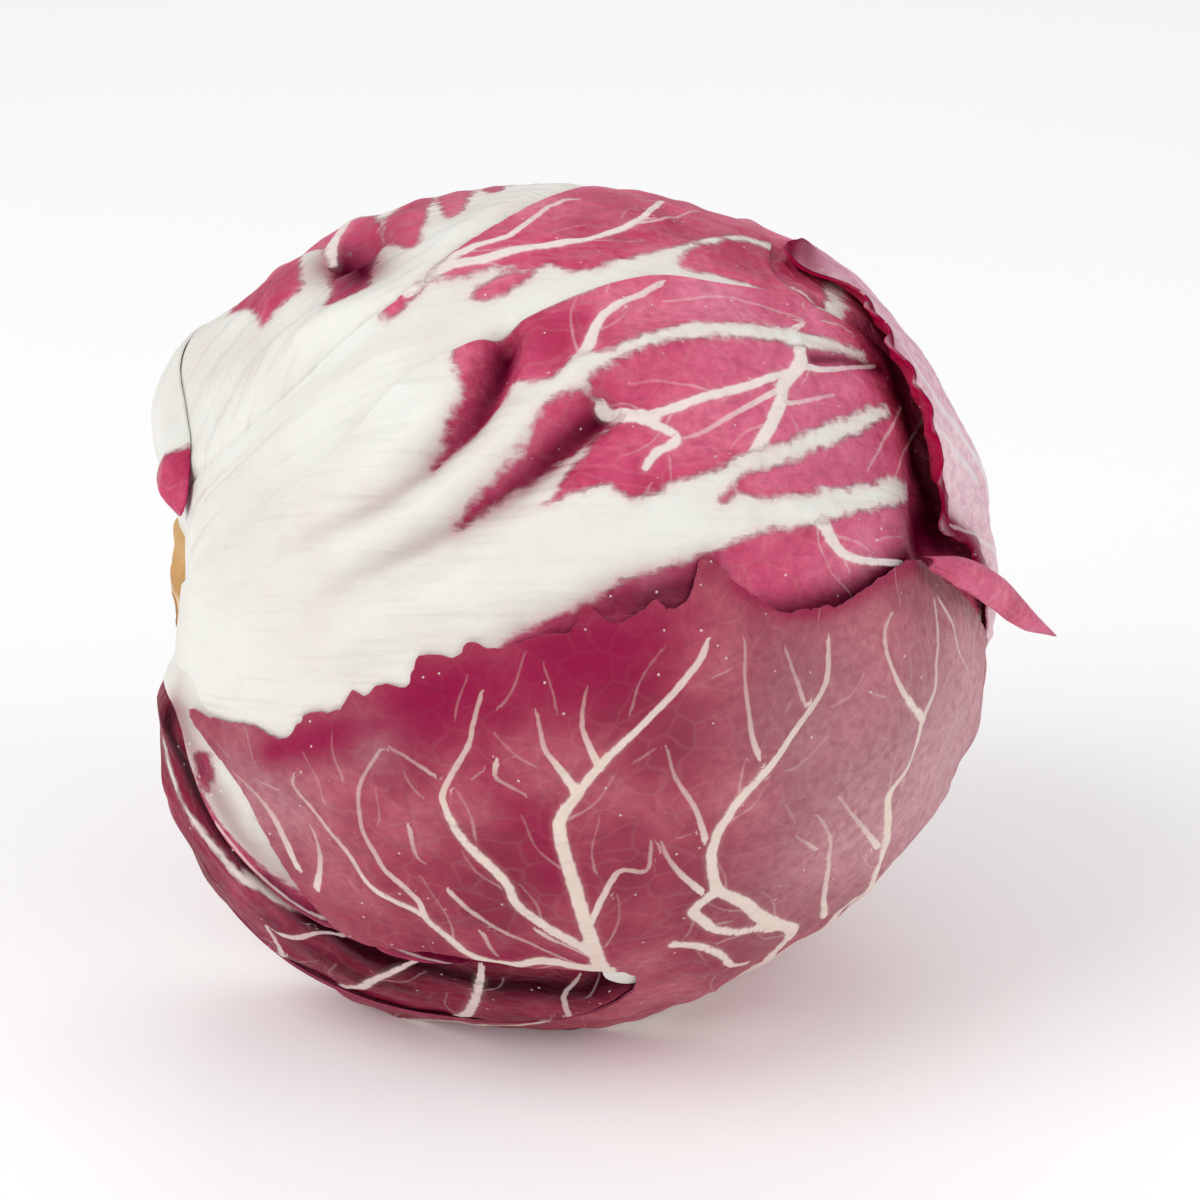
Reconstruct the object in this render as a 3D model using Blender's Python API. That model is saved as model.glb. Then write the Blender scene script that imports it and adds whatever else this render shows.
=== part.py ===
"""Radicchio head: a stem core with nested leaves, lying on its side on a small flat spot.

The head grows along X: the cut stem is at -X and the crown, where the leaf tips close, at +X.
Places on the head are given as two angles seen from its middle: the polar angle from the stem
(0 at the stem, 180 at the crown) and the turn around the X axis (0 faces -Y, 90 is up, -90 down).
Leaves are laid on from the outside inwards, and each one stays clear of the leaves outside it.
"""
import math

import bmesh
import bpy
import numpy as np
from mathutils import Vector
from mathutils.geometry import delaunay_2d_cdt

MILLIMETRE = 0.001

# Driving dimensions of the head, in millimetres.
HEAD_RADIUS = 54.5
HEAD_MIDDLE = (-4.35, -0.67, 52.5)
STEM_END = 50.8
STEM_SHOULDER = 3.5
TOUCH_GAP = 0.35

# Swellings and dents of the head: polar angle, turn, spread in degrees, height in millimetres.
SWELLINGS = (
    (29, 110, 12, 6.5),
    (54, 110, 20, 1.8),
    (52, -68, 24, 4.0),
    (34, -30, 18, 2.5),
    (128, 112, 14, 1.5),
    (122, -70, 24, -2.5),
)
STEM_SHOULDER_PLACE = (20, 100, 10)

# The wrapper leaf's edge stands out in a small beak at the crown: same four values.
BEAK = (172, -12, 9, 7.5)

# Stem core: a cone that narrows to a round tip near the middle of the head.
BUTT_DEPTH = 53.2
BUTT_RADIUS = 10.6
BUTT_ROUNDING = 0.9
CORE_TIP_DEPTH = 9.0
CORE_TILT = 4.6
CORE_TILT_TURN = 110
COLLAR_ANGLE = 13.6

# Leaves: thickness in millimetres, and how they give way to the leaves outside them.
BLADE = 1.0
OUTER_RIB = 1.6
INNER_RIB = 0.5
RIB_REACH = 24
SLOPE = 0.5
FACET_REACH = 1.1
SAG_MARGIN = 1.3

# Inner leaves, each turned by the golden angle from the one outside it.
INNER_LEAVES = 9
INNER_RADIUS_FIRST = 46.5
INNER_RADIUS_STEP = 3.0
GOLDEN_ANGLE = 137.5
INNER_TURN_FIRST = 35
INNER_CELL = 13.5
BUD_LENGTH = 19
BUD_WIDTH = 15
BUD_PLACE = 1.2

WHITE = (0.87, 0.85, 0.82)
PALE_PINK = (0.72, 0.45, 0.50)
CRIMSON = (0.50, 0.075, 0.15)
DUSTY_RED = (0.38, 0.075, 0.13)
MAUVE = (0.54, 0.22, 0.33)
DARK_RED = (0.22, 0.012, 0.06)
TAN = (0.55, 0.33, 0.14)

# Outer leaves, outermost first. Each outline runs once round the leaf as (polar angle, turn);
# "base" lists the turns at which the leaf meets the collar round the stem.
OUTER_LEAVES = (
    {
        "name": "wrapper_leaf",
        "colour": DUSTY_RED,
        "middle": (105, -62),
        "cell": 8.5,
        "lift": 1.8,
        "has_beak": True,
        "base": (-128, -106, -84, -64),
        "outline": (
            (30, -62), (48, -64), (70, -62), (92, -54), (99.5, -43), (96, -38), (87, -36), (74, -35),
            (62, -38), (55, -31), (50, -24), (45, -15), (34, -5), (47, -2.5), (56, 2), (63, 7),
            (72, 12), (82, 14), (91, 16.5), (100, 18), (107, 25), (115, 20), (128, 19),
            (136, 24), (143, 29), (152, 27), (164, 12), (173, -17), (175, -80), (171, -150),
            (150, -160), (120, -154), (90, -144), (60, -136), (35, -134),
        ),
    },
    {
        "name": "crown_leaf",
        "colour": MAUVE,
        "middle": (120, 165),
        "cell": 8.5,
        "lift": 3.2,
        "base": (-168, 172, 152, 136),
        "outline": (
            (38, 134), (60, 130), (85, 120), (104, 104), (113, 90), (117.5, 79), (123, 84),
            (129, 83), (134, 71), (138, 60), (141.5, 54), (146, 48), (151, 41), (159, 31),
            (168, 12), (172, -60), (152, -122), (125, -145), (100, -152), (70, -156), (38, -160),
        ),
    },
    {
        "name": "side_leaf",
        "colour": PALE_PINK,
        "middle": (45, 125),
        "cell": 10,
        "lift": 1.2,
        "base": (158, 138, 118, 98),
        "outline": (
            (22, 86), (28, 82), (35, 90), (45, 106), (62, 118), (78, 138), (74, 162), (52, 172),
            (30, 168),
        ),
    },
    {
        "name": "lower_left_leaf",
        "colour": CRIMSON,
        "middle": (48, -30),
        "cell": 9,
        "lift": 0.6,
        "base": (-88, -62, -38, -14, 8),
        "outline": (
            (25, 11), (32.5, 10), (35, -3), (36, -15), (40, -22), (44, -26), (54, -30),
            (63, -32), (78, -27), (86, -35), (80, -44), (69, -37.5), (59, -40), (53, -39),
            (43, -47), (34, -64), (24, -84),
        ),
    },
    {
        "name": "front_leaf",
        "colour": CRIMSON,
        "middle": (92, 18),
        "cell": 8.5,
        "lift": 0.0,
        "base": (-34, -12, 8, 26),
        "outline": (
            (30, 25), (44, 33), (54, 39.5), (61, 44), (73, 54), (81, 57.5), (95, 65), (111, 70.5),
            (123, 75), (135, 79), (149, 80), (164, 70), (171, 5), (160, -42), (138, -50),
            (110, -46), (85, -38), (60, -30), (42, -30), (28, -32),
        ),
    },
    {
        "name": "crown_inner_leaf",
        "colour": CRIMSON,
        "middle": (118, 140),
        "cell": 11,
        "lift": 0.6,
        "base": (-176, 162, 140, 124),
        "outline": (
            (45, 122), (75, 108), (100, 92), (118, 77), (127, 74), (134, 76), (144, 60),
            (158, 45), (172, -80), (152, -140), (112, -164), (65, -172),
        ),
    },
    {
        "name": "top_leaf",
        "colour": CRIMSON,
        "middle": (88, 78),
        "cell": 8.5,
        "lift": -0.6,
        "base": (52, 34, 14, -6),
        "outline": (
            (36, -4), (70, 8), (100, 8), (130, 14), (150, 30), (166, 90), (152, 140), (122, 142),
            (104, 126), (92, 98), (82.5, 82), (72.5, 70), (66, 65), (52, 59), (35, 53),
        ),
    },
    {
        "name": "shoulder_leaf",
        "colour": CRIMSON,
        "middle": (78, 125),
        "cell": 11,
        "lift": 0.0,
        "base": (168, 142, 116, 90, 64, 40),
        "outline": (
            (34, 40), (60, 46), (90, 62), (118, 84), (140, 110), (135, 150), (110, 172),
            (80, -178), (45, -178),
        ),
    },
    {
        "name": "bottom_leaf",
        "colour": CRIMSON,
        "middle": (72, -78),
        "cell": 10,
        "lift": 0.6,
        "base": (-148, -122, -96, -70, -44),
        "outline": (
            (32, -38), (50, -30), (66, -25), (84, -26), (97, -33), (105, -48), (112, -80),
            (108, -118), (80, -142), (42, -152),
        ),
    },
    {
        "name": "under_leaf",
        "colour": DARK_RED,
        "middle": (95, -118),
        "cell": 11,
        "lift": -0.6,
        "base": (-168, -142, -116, -90),
        "outline": (
            (45, -66), (85, -48), (120, -40), (150, -52), (166, -110), (152, -168), (105, -178),
            (48, -176),
        ),
    },
    {
        "name": "back_leaf",
        "colour": DARK_RED,
        "middle": (90, 165),
        "cell": 11,
        "lift": -0.6,
        "base": (-152, -176, 158, 134),
        "outline": (
            (40, 122), (85, 102), (130, 98), (160, 115), (168, -160), (140, -122), (90, -120),
            (42, -132),
        ),
    },
)

# Outline of an inner leaf, with turns counted from its own midrib.
INNER_BASE = (-46, -16, 16, 46)
INNER_OUTLINE = (
    (45, 78), (80, 86), (115, 84), (142, 74), (165, 45), (178, 0), (165, -45), (142, -74),
    (115, -84), (80, -86), (45, -78),
)


def direction(polar, turn):
    """Unit vectors for places on the head, given in degrees."""
    polar, turn = np.radians(polar), np.radians(turn)
    across = np.sin(polar)
    return np.stack([-np.cos(polar), -across * np.cos(turn), across * np.sin(turn)], axis=-1)


def angle_between(first, second):
    """Angles in degrees between every direction of one list and every one of the other."""
    return np.degrees(np.arccos(np.clip(first @ np.transpose(second), -1, 1)))


def swelling(directions, polar, turn, spread, height):
    """A round bump of the head, falling off around the place given."""
    away = angle_between(directions, direction(polar, turn))
    return height * np.exp(-((away / spread) ** 2))


def head_radius(directions):
    """Distance of the head's surface from its middle: round, flat at the stem and underneath."""
    radius = HEAD_RADIUS + sum(swelling(directions, *bump) for bump in SWELLINGS)
    polar, turn, spread = STEM_SHOULDER_PLACE
    stem_end = STEM_END + swelling(directions, polar, turn, spread, STEM_SHOULDER)
    stem_limit = stem_end / np.maximum(-directions[:, 0], 0.3)
    softness = 1.2
    radius = -softness * np.logaddexp(-radius / softness, -stem_limit / softness)
    return radius


def ground_limit(directions):
    """Distance at which a direction meets the surface that the head lies on."""
    return HEAD_MIDDLE[2] / np.maximum(-directions[:, 2], 0.05)


def collar(turn):
    """Polar angle at which leaves meet the tilted stem core, for a turn round the head."""
    return COLLAR_ANGLE + CORE_TILT * math.cos(math.radians(turn - CORE_TILT_TURN))


class LeafPlane:
    """A flat map of the head around a leaf's middle: distances from the middle stay true."""

    def __init__(self, middle):
        self.middle = direction(*middle)
        self.along = direction(middle[0] + 90, middle[1])
        self.across = np.cross(self.middle, self.along)

    def flatten(self, directions):
        away = angle_between(directions, self.middle)
        east = directions @ self.along
        north = directions @ self.across
        length = np.maximum(np.hypot(east, north), 1e-9)
        return np.stack([away * east / length, away * north / length], axis=-1)

    def wrap(self, points):
        away = np.hypot(points[:, 0], points[:, 1])
        safe = np.maximum(away, 1e-9)
        side = np.outer(points[:, 0] / safe, self.along) + np.outer(points[:, 1] / safe, self.across)
        turn = np.radians(away)[:, None]
        return np.cos(turn) * self.middle + np.sin(turn) * side


def smooth_loop(points, cell):
    """A closed smooth curve through every point, with steps no longer than a cell."""
    count = len(points)
    loop = []
    for index in range(count):
        before, start, end, after = (points[(index + shift) % count] for shift in (-1, 0, 1, 2))
        steps = max(1, round(float(np.linalg.norm(end - start)) / cell))
        for t in np.arange(steps) / steps:
            bend = (end - before) * t + (2 * before - 5 * start + 4 * end - after) * t**2
            bend = bend + (3 * start - before - 3 * end + after) * t**3
            loop.append(start + 0.5 * bend)
    return np.array(loop)


def inside(points, loop):
    """Which points lie inside a closed loop."""
    result = np.zeros(len(points), dtype=bool)
    for start, end in zip(loop, np.roll(loop, -1, axis=0)):
        crosses = (start[1] > points[:, 1]) != (end[1] > points[:, 1])
        rise = end[1] - start[1] if end[1] != start[1] else 1e-9
        reach = start[0] + (points[:, 1] - start[1]) * (end[0] - start[0]) / rise
        result ^= crosses & (points[:, 0] < reach)
    return result


def filling(loop, cell):
    """Evenly spread points inside a loop, clear of its edge."""
    low, high = loop.min(axis=0), loop.max(axis=0)
    row_step = cell * math.sqrt(3) / 2
    points = []
    for row in range(int((high[1] - low[1]) / row_step) + 1):
        shift = cell / 2 if row % 2 else 0
        for column in range(int((high[0] - low[0]) / cell) + 1):
            points.append((low[0] + shift + column * cell, low[1] + row * row_step))
    points = np.array(points)
    points = points[inside(points, loop)]
    gaps = np.linalg.norm(points[:, None] - loop[None], axis=2).min(axis=1)
    return points[gaps > 0.6 * cell]


def leaf_sheet(loop, cell):
    """A flat triangulated sheet with the loop as its edge."""
    points = np.concatenate([loop, filling(loop, cell)])
    edge = list(range(len(loop)))
    flat = [Vector(point) for point in points]
    sheet = delaunay_2d_cdt(flat, [], [edge], 1, 1e-4)
    return np.array([tuple(vertex) for vertex in sheet[0]]), sheet[2]


class Ceiling:
    """How far out the next leaf may reach, kept on evenly spread directions."""

    def __init__(self, count=7000):
        index = np.arange(count) + 0.5
        polar = np.degrees(np.arccos(1 - 2 * index / count))
        self.directions = direction(polar, 180 * (1 + math.sqrt(5)) * index)
        self.reach = np.full(count, 200.0)

    def limit(self, directions, cell):
        """The reach that keeps a leaf with facets of this size clear of what lies outside."""
        away = angle_between(directions, self.directions)
        slack = SLOPE * np.maximum(away - FACET_REACH * cell, 0)
        reach = (self.reach[None] + slack).min(axis=1)
        return reach - TOUCH_GAP - facet_sag(reach, cell)

    def lower(self, plane, loop, directions, inner, cell):
        """Takes in the inner side of a leaf that has been laid on."""
        covered = inside(plane.flatten(self.directions), loop)
        away = angle_between(self.directions[covered], directions)
        near = np.where(away < FACET_REACH * cell, inner[None], 500.0).min(axis=1)
        self.reach[covered] = np.minimum(self.reach[covered], near)


def facet_sag(radius, cell):
    """How far the middle of a flat facet lies below the round surface through its corners."""
    return SAG_MARGIN * radius * math.radians(cell) ** 2 / 6


def leaf_thickness(directions, rib):
    """A thin blade that thickens towards the white base at the stem."""
    polar = angle_between(directions, direction(0, 0))
    return BLADE + rib * np.exp(-((polar / RIB_REACH) ** 2))


def surface_material(name, colour, roughness):
    material = bpy.data.materials.new(name)
    material.use_nodes = True
    shader = material.node_tree.nodes["Principled BSDF"]
    shader.inputs["Base Color"].default_value = (*colour, 1)
    shader.inputs["Roughness"].default_value = roughness
    shader.inputs["Metallic"].default_value = 0
    return material


def add_object(name, mesh_builder, colour, roughness=0.5):
    """Turns a bmesh, in millimetres from the head's middle, into a finished object."""
    bmesh.ops.recalc_face_normals(mesh_builder, faces=mesh_builder.faces)
    bmesh.ops.scale(mesh_builder, vec=(MILLIMETRE,) * 3, verts=mesh_builder.verts)
    mesh = bpy.data.meshes.new(name)
    mesh_builder.to_mesh(mesh)
    mesh_builder.free()
    mesh.shade_smooth()
    mesh.materials.append(surface_material(name + "_surface", colour, roughness))
    node = bpy.data.objects.new(name, mesh)
    node.location = Vector(HEAD_MIDDLE) * MILLIMETRE
    bpy.context.collection.objects.link(node)
    return node


def thick_sheet(directions, faces, outer, inner):
    """A closed leaf: its outer side, and an extruded copy pulled in to the inner side."""
    builder = bmesh.new()
    number = builder.verts.layers.int.new("number")
    for index, place in enumerate(directions * outer[:, None]):
        builder.verts.new(place)[number] = index
    builder.verts.ensure_lookup_table()
    sheet = [builder.faces.new([builder.verts[index] for index in face]) for face in faces]
    grown = bmesh.ops.extrude_face_region(builder, geom=sheet, use_keep_orig=True)
    for item in grown["geom"]:
        if isinstance(item, bmesh.types.BMVert):
            item.co = Vector(directions[item[number]] * inner[item[number]])
    return builder


def lay_leaf(ceiling, name, colour, middle, outline, cell, wanted, rib):
    """Cuts a leaf from a flat sheet, wraps it under the leaves outside it and thickens it."""
    plane = LeafPlane(middle)
    corners = plane.flatten(direction(*np.transpose(outline)))
    loop = smooth_loop(corners, cell)
    points, faces = leaf_sheet(loop, cell)
    directions = plane.wrap(points)
    outer = np.minimum(wanted(directions), ceiling.limit(directions, cell))
    outer = np.minimum(outer, ground_limit(directions))
    inner = outer - leaf_thickness(directions, rib)
    ceiling.lower(plane, loop, directions, inner, cell)
    add_object(name, thick_sheet(directions, faces, outer, inner), colour)


def outer_leaf_radius(directions, leaf):
    """Wanted distance of an outer leaf, before the leaves outside it press it down."""
    radius = head_radius(directions) + leaf["lift"]
    if leaf.get("has_beak"):
        radius = radius + swelling(directions, *BEAK)
    return radius


def lay_outer_leaves(ceiling):
    for leaf in OUTER_LEAVES:
        base = [(collar(turn), turn) for turn in leaf["base"]]
        lay_leaf(
            ceiling,
            leaf["name"],
            leaf["colour"],
            leaf["middle"],
            base + list(leaf["outline"]),
            leaf["cell"],
            lambda directions, leaf=leaf: outer_leaf_radius(directions, leaf),
            OUTER_RIB,
        )


def lay_inner_leaves(ceiling):
    for index in range(INNER_LEAVES):
        midrib = INNER_TURN_FIRST + index * GOLDEN_ANGLE
        radius = INNER_RADIUS_FIRST - index * INNER_RADIUS_STEP
        base = [(collar(midrib + turn), midrib + turn) for turn in INNER_BASE]
        rest = [(polar, midrib + turn) for polar, turn in INNER_OUTLINE]
        share = radius / HEAD_RADIUS
        lay_leaf(
            ceiling,
            f"inner_leaf_{index + 1:02d}",
            PALE_PINK,
            (95, midrib),
            base + rest,
            INNER_CELL,
            lambda directions, share=share: head_radius(directions) * share,
            INNER_RIB,
        )


def core_profile():
    """Side view of half the stem core: depth towards the stem, and radius."""
    half_angle = math.atan(BUTT_RADIUS / BUTT_DEPTH)
    tip_radius = CORE_TIP_DEPTH * math.sin(half_angle)
    profile = [(BUTT_DEPTH, 0), (BUTT_DEPTH, BUTT_RADIUS - BUTT_ROUNDING)]
    profile.append((BUTT_DEPTH - BUTT_ROUNDING, BUTT_RADIUS))
    profile.append((CORE_TIP_DEPTH + tip_radius, (CORE_TIP_DEPTH + tip_radius) * math.tan(half_angle)))
    for turn in (60, 30):
        height = tip_radius * math.sin(math.radians(turn))
        reach = tip_radius * (1 - math.cos(math.radians(turn)))
        profile.append((CORE_TIP_DEPTH + reach, height))
    profile.append((CORE_TIP_DEPTH, 0))
    return profile


def build_stem_core():
    """The cut stem with the core that carries every leaf."""
    axis = direction(CORE_TILT, CORE_TILT_TURN)
    side = direction(CORE_TILT + 90, CORE_TILT_TURN)
    builder = bmesh.new()
    places = [Vector(depth * axis + radius * side) for depth, radius in core_profile()]
    vertices = [builder.verts.new(place) for place in places]
    edges = [builder.edges.new(pair) for pair in zip(vertices, vertices[1:])]
    bmesh.ops.spin(
        builder,
        geom=vertices + edges,
        cent=(0, 0, 0),
        axis=Vector(axis),
        angle=math.tau,
        steps=24,
        use_merge=True,
    )
    bmesh.ops.remove_doubles(builder, verts=builder.verts, dist=0.01)
    add_object("stem_core", builder, TAN, roughness=0.8)


def build_bud():
    """The tightly furled bud of leaves too small to part, at the tip of the core."""
    builder = bmesh.new()
    bmesh.ops.create_icosphere(builder, subdivisions=2, radius=0.5)
    bmesh.ops.scale(builder, vec=(BUD_LENGTH, BUD_WIDTH, BUD_WIDTH), verts=builder.verts)
    bmesh.ops.translate(builder, vec=(BUD_PLACE, 0, 0), verts=builder.verts)
    add_object("heart_bud", builder, WHITE)


def build_head():
    for old in list(bpy.data.objects):
        bpy.data.objects.remove(old)
    ceiling = Ceiling()
    lay_outer_leaves(ceiling)
    lay_inner_leaves(ceiling)
    build_stem_core()
    build_bud()


build_head()
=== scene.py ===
# A head of round red radicchio lying on its side: leaves wrapped over one another around a cut stem.

import math

import bmesh
import bpy
import numpy as np
from mathutils import Matrix, Vector, noise


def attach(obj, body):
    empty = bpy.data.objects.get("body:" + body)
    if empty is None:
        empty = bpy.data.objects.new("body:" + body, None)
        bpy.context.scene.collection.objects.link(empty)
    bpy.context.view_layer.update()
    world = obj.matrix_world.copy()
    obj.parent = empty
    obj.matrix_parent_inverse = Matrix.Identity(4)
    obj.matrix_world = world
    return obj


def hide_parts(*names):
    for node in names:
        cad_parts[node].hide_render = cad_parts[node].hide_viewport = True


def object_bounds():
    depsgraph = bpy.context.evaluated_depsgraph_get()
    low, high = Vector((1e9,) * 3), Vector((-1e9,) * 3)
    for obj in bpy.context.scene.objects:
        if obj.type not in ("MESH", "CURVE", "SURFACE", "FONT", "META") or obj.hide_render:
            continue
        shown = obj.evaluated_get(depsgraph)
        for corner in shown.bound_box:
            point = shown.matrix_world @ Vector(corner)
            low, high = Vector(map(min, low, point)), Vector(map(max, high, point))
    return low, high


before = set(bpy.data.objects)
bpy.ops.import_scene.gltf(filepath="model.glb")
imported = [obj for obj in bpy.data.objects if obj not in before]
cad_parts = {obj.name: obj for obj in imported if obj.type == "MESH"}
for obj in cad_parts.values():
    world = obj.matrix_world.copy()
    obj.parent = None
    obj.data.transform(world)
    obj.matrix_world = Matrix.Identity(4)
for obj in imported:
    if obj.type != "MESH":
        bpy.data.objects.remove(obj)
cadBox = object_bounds()
noise.seed_set(4)  # so that the teeth along a leaf's margin come out alike every time

# Sizes are in millimetres and angles in degrees until a mesh is finished. A place on the head is
# (polar, turn): polar is measured from the stem, turn runs around the head, 0 in front and 90 on top.
head = {
    "middleFromCorner": (54.48, 56.18, 52.5),
    "radius": 54.5,
    # polar, turn, spread, height
    "swellings": [
        (29, 110, 12, 6.5), (54, 110, 20, 1.8), (52, -68, 24, 4.0), (34, -30, 18, 2.5),
        (128, 112, 14, 1.5), (122, -70, 24, -2.5),
    ],
    "stemEnd": 48.2,
    "stemShoulders": [(24, 100, 12, 5.5), (28, -34, 13, 5.2)],
    "stemSoftness": 1.2,
    # width at both ends, height at the start, middle and end, places
    "creases": [
        (6.5, 2.2, 0.6, 2.0, 0.4, [(34, 14), (54, 16), (69, 18), (90, 22), (107, 27), (130, 37)]),
        (5.5, 1.8, 0.6, 2.2, 0.4, [(40, 26), (54, 27), (74, 33), (84, 41), (94, 50), (106, 58), (122, 64)]),
        (4.0, 1.6, 0.2, 1.1, 0.2, [(70, 23), (80, 26), (90, 30), (101, 34), (116, 41), (133, 55)]),
        (4.2, 2.0, -0.4, -3.2, -4.2, [(44, 24), (50, 28.5), (57, 30.5), (66, 34), (71, 37.5),
                                      (75.5, 41.5), (78, 44), (80, 48), (81.5, 52), (82.5, 56)]),
        (4.2, 2.0, -0.4, -2.9, -3.4, [(44, 13), (50, 17), (60, 22), (66, 25), (72.5, 27.5), (78.5, 31),
                                      (84, 34.5), (87.5, 37.5), (90.5, 40.5), (93.5, 43), (95, 45)]),
        (4.5, 4.0, -0.2, -1.5, -0.1, [(60, 9), (66, 11), (75, 15), (88, 17), (102, 19)]),
        (5.0, 3.0, 0.1, 1.4, 0.2, [(34, 79), (52, 67), (68, 68), (76, 76), (84, 91)]),
        (3.5, 2.4, -0.2, -1.3, -0.1, [(34, 46), (44, 53), (52, 57), (62, 60), (70, 66)]),
        (3.2, 2.4, -0.2, -1.3, -0.1, [(36, 64), (45, 70), (52, 76), (58, 82)]),
        (3.0, 3.0, -0.1, -0.9, -0.1, [(36, 30), (46, 38), (58, 46), (66, 50)]),
    ],
    # dark hollows: polar, turn, spread, height
    "hollows": [(60, 88, 4.5, -4.2), (152, 45, 10, -4.0), (124, 88, 6, -2.5), (120.5, 106, 3.5, -2.2)],
}
middle = np.array(cadBox[0]) * 1000 + head["middleFromCorner"]


def direction(polar, turn):
    polar, turn = np.radians(polar), np.radians(turn)
    across = np.sin(polar)
    return np.stack([-np.cos(polar), -across * np.cos(turn), across * np.sin(turn)], axis=-1)


def swelling(places, polar, turn, spread, height):
    # a round rise of the given height that fades out over the spread, in degrees
    away = np.degrees(np.arccos(np.clip(places @ direction(polar, turn), -1, 1)))
    return height * np.exp(-((away / spread) ** 2))


def bendBetween(before, start, end, after, steps):
    # spots from start towards end on a smooth curve through all four points
    spots = []
    for t in np.arange(steps) / steps:
        bend = (end - before) * t + (2 * before - 5 * start + 4 * end - after) * t**2
        spots.append(start + 0.5 * (bend + (3 * start - before - 3 * end + after) * t**3))
    return spots


def smoothLine(points, steps):
    points = np.asarray(points, float)
    points = np.vstack([2 * points[0] - points[1], points, 2 * points[-1] - points[-2]])
    line = []
    for four in zip(points, points[1:], points[2:], points[3:]):
        line += bendBetween(*four, steps)
    return np.array(line + [points[-2]])


def smoothRing(points, cell):
    ring = []
    before, end, after = (np.roll(points, -shift, axis=0) for shift in (-1, 1, 2))
    for four in zip(before, points, end, after):
        steps = max(1, round(float(np.linalg.norm(four[2] - four[1])) / cell))
        ring += bendBetween(*four, steps)
    return np.array(ring)


def unit(vectors):
    return vectors / np.linalg.norm(vectors, axis=-1, keepdims=True)


def joinLines(lines, steps=3, taper=1.0):
    # each line is (half width at its start, half width at its end, places)
    columns = []
    for wide, narrow, places in lines:
        line = unit(smoothLine(places, steps))
        widths = narrow + (wide - narrow) * np.linspace(1, 0, len(line)) ** taper
        columns.append((line[:-1], line[1:], widths[:-1], widths[1:]))
    return [np.concatenate(column) for column in zip(*columns)]


def nearest(places, segments):
    # how deep each place lies in the nearest line, on which side of it, and how wide that line is there
    starts, ends, wide, narrow = segments
    run = ends - starts
    lengths = (run**2).sum(1)
    deep, side, half = (np.empty(len(places)) for _ in range(3))
    for first in range(0, len(places), 4000):
        block = places[first : first + 4000]
        reach = block @ run.T - (starts * run).sum(1)
        along = np.clip(reach / lengths, 0, 1)
        gap = 1 + (starts**2).sum(1) - 2 * block @ starts.T - 2 * along * reach + along**2 * lengths
        away = np.sqrt(np.maximum(gap, 0)) * head["radius"]
        width = wide + (narrow - wide) * along
        pick = np.argmax(width - away, axis=1)
        rows = np.arange(len(block))
        turned = (block * np.cross(run[pick], starts[pick])).sum(1)
        deep[first : first + 4000] = (width - away)[rows, pick]
        side[first : first + 4000] = np.where(turned < 0, -1, 1) * away[rows, pick]
        half[first : first + 4000] = width[rows, pick]
    return deep, side, half


def creaseHeight(places, crease):
    # a fold that runs along a line, its height changing from start through middle to end
    wide, narrow, atStart, atMiddle, atEnd, line = crease
    points = smoothLine(direction(*np.transpose(line)), 4)
    along = np.linspace(0, 1, len(points))
    height = atStart * (1 - along) * (1 - 2 * along) + atMiddle * 4 * along * (1 - along)
    height = height + atEnd * along * (2 * along - 1)
    side, width = nearest(places, joinLines([(wide, narrow, points)], 1))[1:]
    closest = np.argmax(places @ unit(points).T, axis=1)
    return height[closest] * np.exp(-((side / width) ** 2))


def headRadius(places):
    # how far out the head's plain shape lies, before any leaf stands off it
    radius = head["radius"] + sum(swelling(places, *bump) for bump in head["swellings"])
    stemEnd = head["stemEnd"] + sum(swelling(places, *shoulder) for shoulder in head["stemShoulders"])
    stemLimit = stemEnd / np.maximum(-places[:, 0], 0.3)
    softness = head["stemSoftness"]
    radius = -softness * np.logaddexp(-radius / softness, -stemLimit / softness)
    radius = radius + sum(swelling(places, *hollow) for hollow in head["hollows"])
    return radius + sum(creaseHeight(places, crease) for crease in head["creases"])


def pucker(places, size, seed):
    # smooth unevenness of the given size, from -1 to 1
    scaled = places * head["radius"] / size + seed
    return np.array([noise.noise(Vector(place)) for place in scaled])


def leafPlane(place):
    # a flat map of the head around a place, in degrees
    centre = direction(*place)
    along = direction(place[0] + 90, place[1])
    return {"centre": centre, "along": along, "across": np.cross(centre, along)}


def flatten(plane, places):
    away = np.degrees(np.arccos(np.clip(places @ plane["centre"], -1, 1)))
    east, north = places @ plane["along"], places @ plane["across"]
    length = np.maximum(np.hypot(east, north), 1e-9)
    return np.stack([away * east / length, away * north / length], axis=-1)


def wrap(plane, points):
    # from a leaf's flat map back onto the head
    away = np.hypot(points[:, 0], points[:, 1])
    safe = np.maximum(away, 1e-9)
    heading = np.outer(points[:, 0] / safe, plane["along"]) + np.outer(points[:, 1] / safe, plane["across"])
    bend = np.radians(away)[:, None]
    return np.cos(bend) * plane["centre"] + np.sin(bend) * heading


def insideRing(points, ring):
    result = np.zeros(len(points), dtype=bool)
    for start, end in zip(ring, np.roll(ring, -1, axis=0)):
        crosses = (start[1] > points[:, 1]) != (end[1] > points[:, 1])
        rise = end[1] - start[1] if end[1] != start[1] else 1e-9
        reach = start[0] + (points[:, 1] - start[1]) * (end[0] - start[0]) / rise
        result ^= crosses & (points[:, 0] < reach)
    return result


def inward(places, plane, ring):
    # distance inside a ring drawn on a leaf's plane, negative outside it
    around = wrap(plane, ring)
    flat = np.zeros(len(ring))
    away = -nearest(places, (around, np.roll(around, -1, axis=0), flat, flat))[0]
    return np.where(insideRing(flatten(plane, places), ring), away, -away)


def step(value, low, high):
    # from 0 at low to 1 at high, smoothly
    t = np.clip((value - low) / (high - low), 0, 1)
    return t * t * (3 - 2 * t)


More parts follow.
